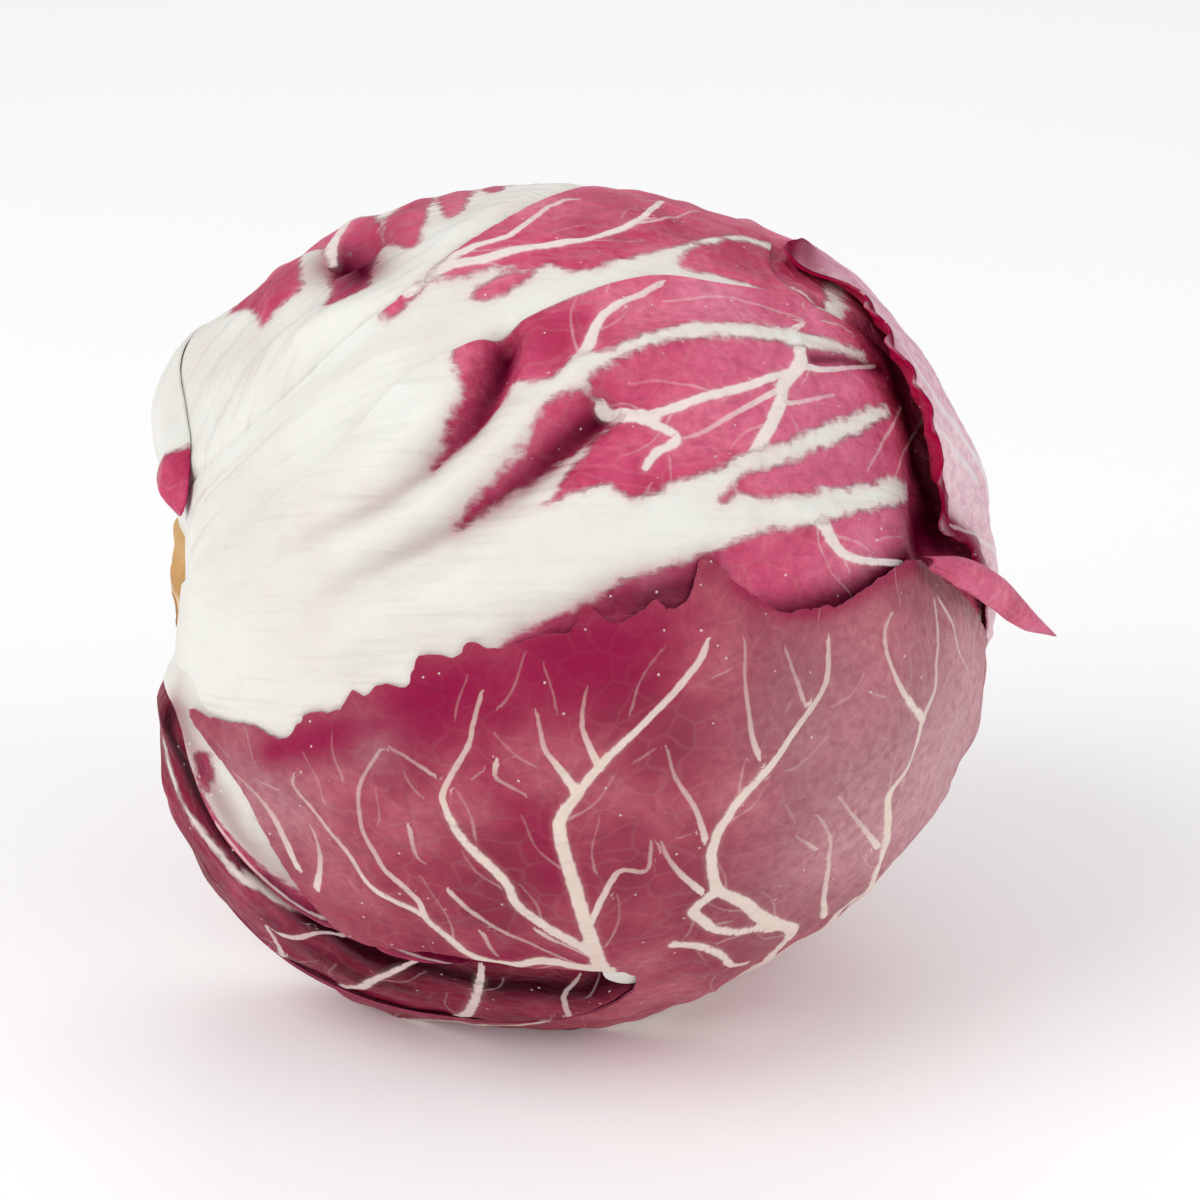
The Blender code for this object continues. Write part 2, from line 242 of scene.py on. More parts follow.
wrapperLeaf = {
    "name": "wrapperLeaf",
    "replaces": "wrapper_leaf",
    "slot": "wrapper_leaf",
    "look": "wrapper",
    "middle": (105, -62),
    "cell": 0.7,
    "lift": 1.8,
    "edgeLift": 0.9,
    "blade": 0.8,
    "ragged": 0.5,
    "base": (-128, -106, -84, -64),
    "outline": [
        (30, -62), (48, -64), (70, -62), (92, -54), (99.5, -43), (97, -37.5), (87, -35.7), (74.4, -34.9),
        (62.4, -37.7), (55.5, -31.6), (50.4, -24), (45.5, -14.7), (39, -9), (34.2, -4.8), (42.5, -3.3),
        (47.2, -2), (52.2, -2.6), (56.2, 2.5), (61, 4), (62.7, 7.2), (64.1, 6.4), (67.1, 8.5),
        (70.1, 8.3), (71.7, 12.6), (76.6, 12.7), (78.3, 14.6), (82.2, 13.8), (88.4, 15.8), (91, 16),
        (93.2, 19.5), (95.9, 17.3), (99.1, 18), (101.8, 20.1), (103, 18.7), (106.1, 20.6), (107.4, 25.3),
        (109.5, 24.4), (112.8, 21.8), (115.4, 19.9), (119.4, 18.2), (122.2, 18.7), (127.6, 19.2),
        (135.5, 24.3), (142.6, 28.7), (152, 27), (163, 14), (169, -8), (171, -40), (175, -80),
        (171, -150), (150, -160), (120, -154), (90, -144), (60, -136), (35, -134),
    ],
    # half width at the start and at the end, places
    "veins": [
        (1.0, 0.3, [(97, -40), (95, -36), (93.5, -27), (90, -11), (90, -7.5), (92, -4), (94.5, -0.5),
                    (100, 4.5), (106.5, 11.5), (108, 14.5)]),
        (0.5, 0.15, [(92, -4), (89.5, -0.5), (88, 1.5), (87, 6)]),
        (0.4, 0.1, [(94.5, -0.5), (92.5, 4.5), (93, 9)]),
        (0.4, 0.15, [(93.5, -24), (96, -17.5), (97.5, -15.5), (100.5, -16), (101, -12)]),
        (0.3, 0.12, [(87, -26), (92.5, -30.5), (95, -33.5)]),
        (0.75, 0.2, [(95, -34.5), (93, -29.5), (85, -22), (83, -17.5), (77.5, -11.5), (75.5, -7),
                     (75.5, -4.5), (78.5, 1.5), (79, 4), (80, 8)]),
        (0.3, 0.1, [(75.5, -4.5), (73, -2), (68.5, 0)]),
        (0.85, 0.15, [(96, -36.5), (87.5, -33.5), (84, -35), (79.5, -34.5), (74.5, -30), (72.5, -26.5),
                      (71.5, -23), (67.5, -19), (65, -14), (64, -7), (67, -0.5)]),
        (0.5, 0.15, [(72.5, -26.5), (68, -24), (64.5, -22.5), (62, -18), (58.5, -14), (54, -10.5),
                     (54, -8.5)]),
        (0.4, 0.15, [(57.5, -28), (58, -21), (56.5, -17)]),
        (0.4, 0.1, [(54.5, -26), (51, -19), (48.5, -15), (45, -12.5)]),
        (0.25, 0.1, [(71, -11), (71.5, -15), (72.5, -16.5)]),
        (0.3, 0.15, [(76, -20.5), (79.5, -24.5), (85, -29), (94, -35.5)]),
        (0.3, 0.15, [(79, -25.5), (81.5, -33)]),
        (0.3, 0.1, [(82, -0.5), (82, -2.5), (85.5, -4.5)]),
        (1.2, 0.25, [(112, -68), (118, -58), (121, -48), (121, -40), (116.5, -32.5), (113.5, -26.5),
                     (109.5, -21.5), (109, -14.5), (111, -9.5), (113, -7), (116, -4), (120, 1),
                     (122.5, 4), (125, 8), (125.5, 14)]),
        (0.8, 0.4, [(109.5, -22.5), (106.5, -24.5), (107.5, -27), (110, -30.5), (115.5, -34),
                    (118.5, -37)]),
        (0.4, 0.12, [(107.5, -21.5), (103.5, -15.5), (102, -11)]),
        (0.35, 0.12, [(108, -13), (106.5, -7.5), (104, -3), (103, 1)]),
        (0.35, 0.12, [(115.5, -3.5), (114, 2), (113, 8.5), (113, 14.5)]),
        (0.3, 0.12, [(122, 4), (121, 6.5), (119, 13)]),
        (0.95, 0.2, [(126, -66), (132, -55), (134.5, -45.5), (135.5, -35), (135, -21), (136, -15.5),
                     (139.5, -12.5), (141.5, -4.5), (144, 0.5), (145, 9), (147, 20)]),
        (0.45, 0.15, [(141.5, -4.5), (136, 5), (134.5, 13), (136, 17.5)]),
        (0.4, 0.12, [(134, -29.5), (130.5, -20), (127, -12.5)]),
        (0.45, 0.12, [(126, -42), (126, -36), (126, -26), (125.5, -19), (123.5, -14)]),
        (0.3, 0.1, [(125, -23), (120.5, -16.5)]),
        (0.35, 0.1, [(149, 20), (152.5, 6.5), (157, -10.5)]),
        (0.6, 0.3, [(104, -31), (109.5, -34.5), (112, -41), (114.5, -44)]),
        (3.0, 1.2, [(20, -98), (48, -90), (80, -77), (105, -68), (128, -68), (152, -78)]),
        (1.2, 0.3, [(70, -84), (92, -100), (112, -122)]),
        (1.2, 0.3, [(100, -70), (122, -92), (140, -130)]),
        (1.0, 0.3, [(52, -92), (68, -112), (82, -130)]),
        (1.0, 0.3, [(60, -84), (72, -70), (88, -56)]),
    ],
    "ribs": [(13, 1.5, [(14, -98), (30, -95), (48, -90), (70, -82)])],
    # painted shade, and deeper crimson, along lines: width, strength at the start and at the end, places
    "paintedShadeAndCrimson": [
        (7, 0.8, 0.75, [(70, 6), (78, 9), (86, 11), (95, 13), (101, 16)]),
        (3.0, 0.9, 0.7, [(51, -5), (56, -2), (62, 1), (67.5, 3.5), (72, 7)]),
        (3, 0.5, 0.5, [(79, 0), (86, -8), (90, -16)]),
        (2.5, 0.6, 0.6, [(96, -32), (90, -33), (80, -34)]),
        (1.6, 0.7, 0.7, [(112, 22), (120, 18.5), (128, 19.5), (136, 24.5), (143, 28.5)]),
    ],
    # pale bloom: polar, turn, spread, strength
    "dusty": [(152, -25, 24, 0.9), (122, 4, 12, 0.3), (126, -22, 13, 0.35), (50, -14, 9, 0.45),
              (66, 1, 4, 0.6)],
}

crownLeaf = {
    "name": "crownLeaf",
    "replaces": "crown_leaf",
    "slot": "crown_leaf",
    "look": "crown",
    "middle": (120, 165),
    "cell": 0.8,
    "lift": 0.3,
    "edgeLift": 0.3,
    "blade": 0.8,
    "swelling": (146, 55, 30, 3.2),
    "ragged": 0.5,
    # height, width, and where it is highest: polar, turn, spread
    "lip": (2.2, 3.0, 144, 58, 34),
    "base": (-168, 172, 156),
    "outline": [
        (38, 150), (60, 152), (85, 150), (104, 144), (114, 134), (121, 120), (124, 108), (122.5, 98),
        (120.5, 92), (123.5, 89.5), (127.5, 88.5), (130, 87), (131.5, 81.5), (130.5, 76.5), (134, 73.8),
        (133, 68), (137, 66.2), (137, 61.5), (140.5, 60.3), (141, 55.5), (144.7, 52), (145.2, 47.5),
        (150, 46), (152, 40.5), (158.5, 40), (161, 33), (168, 12), (172, -60), (152, -122), (125, -145),
        (100, -152), (70, -156), (38, -160),
    ],
    "fan": {"turn": 172, "pairs": 5, "length": 150},
    "veins": [
        (0.5, 0.15, [(160, 70), (150, 66), (142, 63), (137, 62)]),
        (0.5, 0.15, [(165, 80), (152, 84), (142, 80), (134, 76)]),
        (0.4, 0.15, [(168, 50), (160, 45), (154, 43)]),
        (0.9, 0.25, [(176, 160), (168, 100), (158, 78), (147, 74), (138, 76), (131, 84)]),
        (0.7, 0.2, [(172, 175), (158, 118), (146, 104), (134, 100), (126, 102)]),
        (0.6, 0.15, [(176, -100), (170, -20), (163, 8), (158, 22)]),
    ],
    # painted shade and dark crimson along the margin's curled lip, where it stands off the leaf below
    "paintedShadeAndCrimson": [
        (3.0, 0.95, 0.3, [(122, 103), (124, 96), (127, 91), (131, 87)]),
        (2.3, 1.0, 1.0, [(123, 104), (121.5, 95), (122.5, 90), (127, 88.5), (131, 82), (133.5, 73),
                         (137, 65.5), (141, 58), (145, 50), (151, 45), (158, 40), (161, 34)]),
    ],
    "dusty": [(160, 20, 34, 0.8), (140, 65, 14, 0.2)],
}

sideLeaf = {
    "name": "sideLeaf",
    "replaces": "side_leaf",
    "slot": "white_leaf",
    "look": "red",
    "middle": (45, 125),
    "cell": 0.8,
    "lift": 0.6,
    "edgeLift": 0.25,
    "blade": 0.9,
    "swelling": (25, 54, 10.5, 3.4),
    "swellingEdge": 2.4,
    "base": (158, 138, 118, 98),
    "outline": [
        (20.5, 88), (21, 76), (22, 64), (23.5, 54), (26.5, 46), (29.5, 46.5), (30.8, 55), (30.6, 66),
        (30.2, 74), (30.6, 83), (32, 94), (38, 112), (48, 130), (62, 142), (72, 156), (66, 170),
        (50, 176), (30, 170),
    ],
    "patches": [
        [(20, 62), (26, 61), (33, 62), (36, 50), (30, 40), (22, 46)],
        [(42, 112), (50, 128), (66, 140), (78, 156), (66, 176), (52, 166), (44, 136)],
    ],
}

lowerLeftLeaf = {
    "name": "lowerLeftLeaf",
    "replaces": "lower_left_leaf",
    "slot": "crimson_leaf",
    "look": "red",
    "middle": (48, -20),
    "cell": 0.7,
    "lift": 0.6,
    "edgeLift": 0.9,
    "blade": 0.8,
    "base": (-6, 8),
    "outline": [
        (28, 10), (40, 4), (55, -10), (74, -22), (79, -33.5), (74, -37.5), (68, -38.5), (60, -37.5),
        (53, -36), (48, -32.5), (43, -28.5), (39.3, -23), (36, -16.5), (33, -9.5), (28, -6),
    ],
    "patches": [
        [(30, -7), (32.5, -10.5), (35, -16), (38.5, -21.5), (42.5, -25.5), (47, -28.8), (51.5, -31),
         (56.5, -32), (64, -32.5), (84, -28), (92, -40), (70, -46), (50, -44), (38, -36), (28, -20)],
        [(37.5, -14), (39.5, -12), (40.5, -15.5), (40, -19.5), (38.5, -19.5)],
    ],
    "veins": [(0.25, 0.15, [(42, -26.5), (47, -31), (53, -34.6), (60, -36), (68, -37), (76, -37)])],
    # painted shade over the pale strip and along the lower edge
    "paintedShadeAndCrimson": [
        (2.6, 0.75, 0.5, [(32, -7), (35, -11), (40, -17.5), (44.5, -23), (48.5, -27), (53, -30.5)]),
        (2.2, 0.8, 1.0, [(50, -32.5), (56, -35), (66, -36), (78, -36)]),
    ],
}

frontLeaf = {
    "name": "frontLeaf",
    "replaces": "front_leaf",
    "slot": "white_leaf",
    "look": "red",
    "middle": (92, 18),
    "cell": 0.75,
    "lift": 0.0,
    "edgeLift": 0.1,
    "blade": 0.9,
    "base": (-4, 6, 16, 26),
    "outline": [
        (30, 25), (44, 33), (54, 39.5), (61, 44), (66, 49.2), (70.6, 52.6), (81.6, 57.5), (84.6, 58.7),
        (94.8, 64.9), (102.7, 68.9), (110.9, 70.4), (123, 75.2), (135.3, 79.1), (149, 80.4), (164, 70),
        (171, 5), (162, -30), (138, -36), (112, -38), (101, -44), (96, -41.5), (93, -34), (78, -24),
        (62, -17), (52, -11), (45, -7), (40.5, -5), (36.5, -2.5), (34, 2), (29, 2),
    ],
    "patches": [
        [(76, 54), (79, 56.5), (81, 57), (84, 58.2), (88, 60.3), (93.5, 64), (98, 67.5), (102.5, 71),
         (108, 73), (114, 75), (120, 77), (126.5, 80), (134, 82), (139, 80), (130.5, 70.5), (125, 68),
         (119.5, 65), (113, 62), (106.5, 59.5), (102.5, 57.5), (98.5, 55), (95, 53), (91.5, 52),
         (90, 50), (88, 49), (86, 48.5), (83.5, 49.5), (83, 47.5), (81, 45.5), (79.5, 44.5), (77.5, 43),
         (75, 40.5), (73, 38.5), (75, 43.5), (76.5, 47), (77.5, 50)],
        [(93.5, 48), (96, 50), (100, 53), (104, 55.5), (108, 57), (113.5, 59), (119.5, 61), (122.5, 62),
         (127.5, 65), (134.5, 69), (139.5, 76.5), (140.5, 70.5), (139.5, 66), (132.5, 56), (127, 50.5),
         (122, 46), (116.5, 42), (113, 40.5), (110.5, 38.5), (106.5, 36.5), (103, 34.5), (101, 33.5),
         (99, 33), (97, 34), (95, 35), (91.5, 33.5), (88.5, 32), (90, 34.5), (92.5, 38), (94, 40.5),
         (95, 42), (96.5, 43), (98, 44.5), (96.5, 45.5), (94.5, 46.5)],
        [(84, 37.5), (86, 40.5), (87.5, 43.5), (90, 45.5), (93.5, 46.5), (96, 46), (97, 44.5),
         (95.5, 43), (93.5, 41.5), (91, 39.5), (88, 37), (85, 35), (81.5, 33), (76, 29.5), (79, 33)],
        [(110.5, 33.5), (114, 37), (117.5, 39), (122, 41.5), (124.5, 44), (130.5, 48.5), (136, 55),
         (141, 63), (145, 73), (152, 78), (160, 68), (150, 55.5), (143.5, 49), (138, 45), (134, 42),
         (128.5, 39), (122, 36.5), (116.5, 35), (113.5, 35)],
        [(106, 24.5), (111.5, 27), (116, 29), (122, 31), (127.5, 33), (132, 35), (136.5, 37.5),
         (143.5, 42), (150, 50), (155, 62), (164, 62), (168, 10), (150, -5), (125, -10), (108, 0),
         (103, 14), (103, 20)],
        [(131.5, 84), (132.5, 77), (134, 72), (135.5, 67), (138, 63), (141, 58), (144, 52.5),
         (147.5, 47), (151.5, 42), (157, 38), (168, 40), (168, 80), (150, 92), (136, 92)],
        [(88, 17.2), (93.5, 19.5), (97.5, 21.8), (101, 23), (106, 23.8), (106, 14), (92, 8), (82, 12)],
    ],
    "veins": [
        (0.8, 0.3, [(91, 49.5), (93, 53), (94.5, 58), (96.5, 61), (100, 64.5), (103, 67.5)]),
        (0.85, 0.7, [(122, 63), (122, 58.5), (119.5, 53.5), (119, 50), (116.5, 44), (114.5, 40)]),
        (0.45, 0.2, [(122, 58), (127.5, 60.5), (135.5, 70)]),
        (0.45, 0.55, [(119.5, 55.5), (113.5, 51), (108, 48), (103, 45.5), (100, 44.5), (96.5, 45)]),
        (0.7, 0.45, [(95, 46), (98, 44), (100.5, 45)]),
        (0.6, 0.4, [(100, 44), (103, 43), (105, 41.5), (102, 39.5), (100.5, 37)]),
        (0.4, 0.15, [(119, 50), (122, 51.5), (127.5, 55.5)]),
        (0.35, 0.12, [(118.5, 52), (113, 47), (108, 43), (104.5, 41.5)]),
        (1.2, 0.35, [(120, 34), (122, 33.5), (125, 32), (127.5, 29.5), (130, 27.5), (133.5, 27),
                     (140, 27.5)]),
        (0.12, 0.1, [(101.5, 63.5), (108, 66), (116.5, 69), (123, 70)]),
        (0.4, 0.15, [(121, 65), (124.5, 70.5), (131.5, 75)]),
        (0.2, 0.1, [(142, 67), (137, 52.5), (134, 44.5)]),
        (0.2, 0.1, [(149, 78), (143, 55), (140, 46.5)]),
    ],
    # painted shade in the creases, under the wrapper's margin, in the cavity under the crown leaf and along
    # its edge
    "paintedShadeAndCrimson": [
        (1.9, 0.5, 1.0, [(72, 38), (75.5, 41.8), (78, 44.2), (80, 48.2), (81.5, 52), (82.5, 55)]),
        (1.8, 0.5, 1.0, [(76, 29.5), (81, 32.5), (84, 34.7), (87.5, 37.7), (90.5, 40.7), (93.5, 43.2),
                         (95, 44.5)]),
        (1.5, 0.0, 0.5, [(50, 27), (57, 30.5), (66, 34), (72, 38)]),
        (1.5, 0.0, 0.5, [(52, 18), (60, 22), (68, 26), (76, 29.5)]),
        (3.2, 0.4, 1.0, [(86, 15), (92, 17), (97, 19.5), (104, 21), (108, 22)]),
        (2.6, 0.9, 1.0, [(118, 17), (124, 18.5), (130, 20.5), (136, 24), (142, 29)]),
        (6.5, 1.0, 1.0, [(147, 33), (150, 37), (153, 43), (156, 42)]),
        (3.4, 0.9, 1.0, [(133, 85), (138, 77), (142, 70), (146, 63), (150, 57), (155, 50)]),
        (1.2, 0.8, 0.8, [(124, 60.5), (130, 65), (137, 71)]),
    ],
    "dusty": [(127, 50, 15, 0.4), (112, 66, 8, 0.35), (138, 30, 9, 0.25)],
}

crownInnerLeaf = {
    "name": "crownInnerLeaf",
    "replaces": "crown_inner_leaf",
    "slot": "crimson_leaf",
    "look": "red",
    "middle": (118, 140),
    "cell": 0.9,
    "lift": 0.6,
    "edgeLift": 0.8,
    "blade": 0.8,
    "base": (-176, 162, 140, 124),
    "outline": [
        (45, 150), (75, 146), (96, 132), (104, 114), (106, 98), (107, 84), (112, 70), (126, 60),
        (142, 50), (158, 40), (172, -80), (152, -140), (112, -164), (65, -172),
    ],
    "ribs": [(1.7, 1.3, [(129, 96), (129.5, 88), (129.5, 80), (131, 75)])],
    "veins": [(0.3, 0.2, [(118, 84), (123, 82), (128, 79)])],
    # painted shade where it lies in the gap between the top leaf and the crown leaf
    "paintedShadeAndCrimson": [(2.0, 0.35, 0.35, [(119, 92), (122, 84), (127, 79)]), (3.0, 0.6, 0.8, [(134, 84),
                                                                                    (136, 74),
                                                                                    (142, 62)])],
}

topLeaf = {
    "name": "topLeaf",
    "replaces": "top_leaf",
    "slot": "white_leaf",
    "look": "red",
    "middle": (88, 78),
    "cell": 0.75,
    "lift": -0.6,
    "edgeLift": -0.3,
    "blade": 0.9,
    "base": (52, 34, 14, -6),
    "outline": [
        (36, -4), (70, 8), (100, 8), (130, 14), (150, 30), (152, 60), (140, 76), (133, 78.5),
        (128.5, 79.5), (123.5, 79), (120.5, 84), (119.5, 90), (119, 98), (115, 106), (108, 120),
        (100, 116), (92, 98), (82.5, 82), (72.5, 70), (66, 65), (52, 59), (35, 53),
    ],
    "patches": [
        [(75, 72), (76.5, 75), (79, 78), (80, 82.5), (82, 86.5), (85.5, 91), (89, 96), (92, 104),
         (98, 122), (112, 124), (122, 108), (119.5, 97), (114, 90.5), (108.5, 83), (105.5, 79),
         (101.5, 75), (97, 72), (94, 69.5), (91, 69), (88.5, 70.5), (86, 68.8), (81.5, 70.3),
         (77.5, 69.2), (73, 68.5)],
        [(105.5, 73.5), (108.5, 80), (113, 86), (118, 92), (123, 94), (126, 78), (118, 74.5), (115, 74),
         (111, 73.5), (108, 73)],
        [(78.5, 64.5), (80, 66.5), (83, 68.3), (86, 68), (83.5, 66), (81, 64)],
        [(65.5, 66), (67.5, 67), (70, 68), (71.5, 67), (69, 65), (67, 64)],
    ],
    "veins": [
        (0.6, 0.25, [(70, 68), (73.5, 70.5), (79, 75), (83, 76.5), (86, 81.5), (89, 87.5), (92, 92)]),
        (0.9, 0.35, [(70, 67), (75, 70.5), (81.5, 72), (88.5, 74.5), (95, 78), (99, 82), (101.5, 88),
                     (104, 98.5)]),
        (0.3, 0.12, [(99, 82), (103.5, 86.5), (109, 97.5)]),
    ],
    # painted shade along a crease and near the margin by the crown leaf
    "paintedShadeAndCrimson": [
        (0.6, 0.35, 0.35, [(66, 66), (72, 70.5), (78, 74)]),
        (1.0, 0.3, 0.6, [(120, 96), (121, 88), (122, 82), (126, 80), (132, 78)]),
    ],
}

shoulderLeaf = {
    "name": "shoulderLeaf",
    "replaces": "shoulder_leaf",
    "slot": "crimson_leaf",
    "look": "red",
    "middle": (78, 125),
    "cell": 0.85,
    "lift": 0.0,
    "edgeLift": 0.2,
    "blade": 0.9,
    "base": (168, 142, 116, 90, 64, 40),
    "outline": [
        (34, 40), (60, 46), (90, 62), (118, 84), (140, 110), (135, 150), (110, 172), (80, -178),
        (45, -178),
    ],
    "patches": [
        [(65, 85.5), (65.5, 92), (67.5, 100), (69, 112), (72, 112), (72, 100), (71.5, 91.5), (71, 83.5),
         (70.5, 79), (68, 81)],
        [(73, 104), (75, 112), (78, 110), (77.5, 102), (76.5, 91), (75.5, 86), (74, 89)],
        [(78, 104.5), (80, 112), (84, 112), (81, 96), (79.5, 97.5)],
        [(56.5, 93.5), (58, 94.5), (62, 89), (64.5, 85), (64, 77), (63.5, 72), (61.5, 71), (58.5, 71),
         (58.5, 76.5), (57, 84)],
        [(53, 106), (58, 112), (63, 112), (64, 99.5), (64.5, 86.5), (60.5, 91), (56.5, 95.5),
         (53.5, 100.5)],
        [(41.5, 100), (42, 112), (47, 116), (52, 110), (53, 102.5), (52.5, 90), (52.5, 84.5),
         (50, 83.5), (48, 83), (46.5, 81), (44.5, 92.5)],
        [(44, 113), (40, 140), (42, 172), (112, 176), (140, 150), (142, 108), (118, 86), (108, 98),
         (97, 112), (84, 110), (78, 108), (70, 110), (56, 111)],
    ],
    "ribs": [
        (5.0, 1.0, [(28, 158), (56, 150), (90, 140), (122, 128)]),
        (1.8, 0.4, [(44, 154), (60, 134), (76, 121), (90, 116)]),
        (1.5, 0.4, [(62, 149), (82, 130), (98, 118), (110, 108)]),
        (1.2, 0.3, [(84, 142), (102, 126), (116, 116)]),
        (1.8, 0.4, [(48, 153), (66, 163), (86, 172)]),
        (1.3, 0.3, [(70, 146), (90, 156), (108, 166)]),
    ],
    "veins": [(0.7, 0.3, [(56.5, 91.5), (61, 103.5), (66, 112), (74, 130)])],
    # painted shade in the hollow at the top
    "paintedShadeAndCrimson": [(4.0, 1.0, 1.0, [(58, 90), (61, 84), (63, 76)])],
}

bottomLeaf = {
    "name": "bottomLeaf",
    "replaces": "bottom_leaf",
    "slot": "crimson_leaf",
    "look": "deep",
    "middle": (72, -78),
    "cell": 0.9,
    "lift": 0.6,
    "edgeLift": 0.8,
    "blade": 0.8,
    "base": (-148, -122, -96, -70, -44, -18, 6),
    "outline": [
        (28, 4), (40, -6), (52, -16), (66, -25), (84, -26), (97, -33), (105, -48), (112, -80),
        (108, -118), (80, -142), (42, -152),
    ],
    "ribs": [
        (0.7, 1.5, [(28, -21.5), (33.5, -31.5), (39.5, -35), (44.5, -38), (47.5, -37)]),
        (1.5, 0.3, [(47, -36.5), (52.5, -37.5), (59, -35.5), (63, -34.5)]),
        (8, 2, [(14, -84), (30, -80), (44, -76)]),
        (2.0, 0.8, [(48, -76), (70, -70), (90, -66), (104, -60)]),
    ],
    "veins": [
        (0.7, 0.3, [(58, -74), (62, -58), (66.5, -45.5), (70, -40.5), (72.5, -34.5)]),
        (0.8, 0.35, [(74, -70), (77.5, -54), (79, -42.5), (79.5, -36.5)]),
        (0.7, 0.3, [(44, -76), (49.5, -66), (52, -58), (49.5, -50)]),
        (0.4, 0.2, [(50, -50), (54.5, -46), (59, -39.5), (64.5, -37.5), (68, -38)]),
        (0.5, 0.2, [(88, -66), (91, -57.5), (90, -44.5), (92, -38)]),
        (0.8, 0.25, [(54, -76), (74, -90), (90, -110)]),
    ],
    # painted deep shadow under the edges of the leaves above and on the underside
    "paintedShadeAndCrimson": [
        (2.4, 0.9, 1.0, [(29, -12), (33.5, -19), (39, -27), (43, -31), (48.5, -34), (54.5, -36),
                         (60.5, -38)]),
        (4.6, 1.0, 0.9, [(56, -38), (62, -40), (70, -41), (80, -42), (90, -42), (98, -42)]),
        (3.0, 0.5, 0.6, [(50, -47), (58, -50), (68, -50)]),
    ],
}

underLeaf = {
    "name": "underLeaf",
    "replaces": "under_leaf",
    "slot": "crimson_leaf",
    "look": "deep",
    "middle": (95, -118),
    "cell": 0.9,
    "lift": -0.6,
    "edgeLift": -0.3,
    "blade": 0.8,
    "base": (-168, -142, -116, -90),
    "outline": [
        (45, -66), (85, -48), (120, -40), (150, -52), (166, -110), (152, -168), (105, -178), (48, -176),
    ],
    "fan": {"turn": -130, "pairs": 5, "length": 140},
}

backLeaf = {
    "name": "backLeaf",
    "replaces": "back_leaf",
    "slot": "crimson_leaf",
    "look": "red",
    "middle": (90, 165),
    "cell": 0.9,
    "lift": -0.6,
    "edgeLift": -0.3,
    "blade": 0.8,
    "base": (-152, -176, 158, 134),
    "outline": [
        (40, 122), (85, 102), (130, 98), (160, 115), (168, -160), (140, -122), (90, -120), (42, -132),
    ],
    "fan": {"turn": 160, "pairs": 5, "length": 140},
}

# from the outside in; each leaf is kept under those before it
layers = [
    wrapperLeaf, crownLeaf, sideLeaf, frontLeaf, lowerLeftLeaf, topLeaf, crownInnerLeaf, shoulderLeaf,
    bottomLeaf, underLeaf, backLeaf,
]

# what every leaf shares, in mm unless it says otherwise
leafBuild = {
    "gap": 0.25,           # between two leaves
    "collar": 13.6,        # the leaves end at this polar angle around the stem
    "collarTilt": 4.6,     # and this much further out on the side of the tilt's turn
    "tiltTurn": 110,
    "edgeThickness": 0.35,
    "edgeWidth": 4.0,      # the blade thins over this much of its margin
    "settleWidth": 13.0,   # and comes down to its edge lift over this much
    "baseThickness": 2.6,
    "baseEnd": (26, 78),   # polar angles between which the thick base thins out
    "rise": 0.5,           # how steeply a leaf may come up outside the edge of one above it
    "puckerHeight": 0.75,
    "puckerSize": 8.0,
    "veinHeight": 0.32,
    "broadVein": 0.4,      # half width above which a vein is broad
    "veinClearance": 1.5,  # between two thin veins
    "twigClearance": 2.1,
    "twigWidth": 0.14,     # half width of the fine side veins
    "twigEnd": 0.05,
    "twigLength": 8.0,
    "twigBends": [(0, 0), (0.35, 0.3), (0.8, 0.55), (1.4, 0.65)],  # along the vein and away from it
    "grooveHeight": 1.05,  # soft furrows that run out from the stem
    "grooveCount": 4.2,    # how close together they are around the head
    "grooveRun": 1.6,      # and how soon they change along it
    "grooveStart": (0.45, 0.9),  # radians from the stem
    "grooveEnd": (1.5, 2.2),
    "underReach": 10.0,    # how far outside a leaf's edge it still holds the ones below down
}


def collar(turn):
    # polar angle at which a leaf ends beside the stem
    fromTilt = math.radians(turn - leafBuild["tiltTurn"])
    return leafBuild["collar"] + leafBuild["collarTilt"] * math.cos(fromTilt)


def onHead(lines):
    return [(wide, narrow, direction(*np.transpose(line))) for wide, narrow, line in lines]


# a midrib with pairs of side ribs and finer veins that leave them, laid out flat in degrees of the head:
# along the midrib and across it
fanShape = {
    "base": (15, 1.4, [(-76, 0), (-50, 0), (-25, 1.0)]),
    "midrib": (3.0, 0.7, [(-40, 0.5), (-10, 1.5), (20, 0)]),
    "midribEnd": (-83, 2.0),
    "start": -46,
    "spacing": 19,
    "stagger": 5,
    "side": [(0, 0), (10, 9), (21, 21), (30, 35)],
    "ribWidth": 2.4,       # of the first pair
    "ribTaper": 0.3,       # and less for each pair after it
    "ribReach": 0.6,       # part of a side vein that is a rib
    "twig": [(0, 0), (5, 0.5), (10, 3), (14, 7)],
    "twigStart": (14, 13),
}


def fanRibs(fan):
    shape = fanShape
    plane = leafPlane((90, fan["turn"]))
    baseWide, baseNarrow, basePoints = shape["base"]
    wide, narrow, points = shape["midrib"]
    end = (fan["length"] + shape["midribEnd"][0], shape["midribEnd"][1])
    ribs = [
        (baseWide, baseNarrow, wrap(plane, np.array(basePoints))),
        (wide, narrow, wrap(plane, np.array([*points, end]))),
    ]
    veins = []
    for pair in range(fan["pairs"]):
        for side in (-1, 1):
            start = shape["start"] + shape["spacing"] * pair + shape["stagger"] * side
            reach = np.array(shape["side"]) * (1, side)
            width = shape["ribWidth"] - shape["ribTaper"] * pair
            ribs.append((width, 0.4, wrap(plane, reach * shape["ribReach"] + (start, 1))))
            veins.append((0.9, 0.25, wrap(plane, reach + (start, 1))))
            twig = np.array(shape["twig"]) * (1, side)
            twig = twig + (start + shape["twigStart"][0], shape["twigStart"][1] * side)
            veins.append((0.4, 0.12, wrap(plane, twig)))
    return ribs, veins


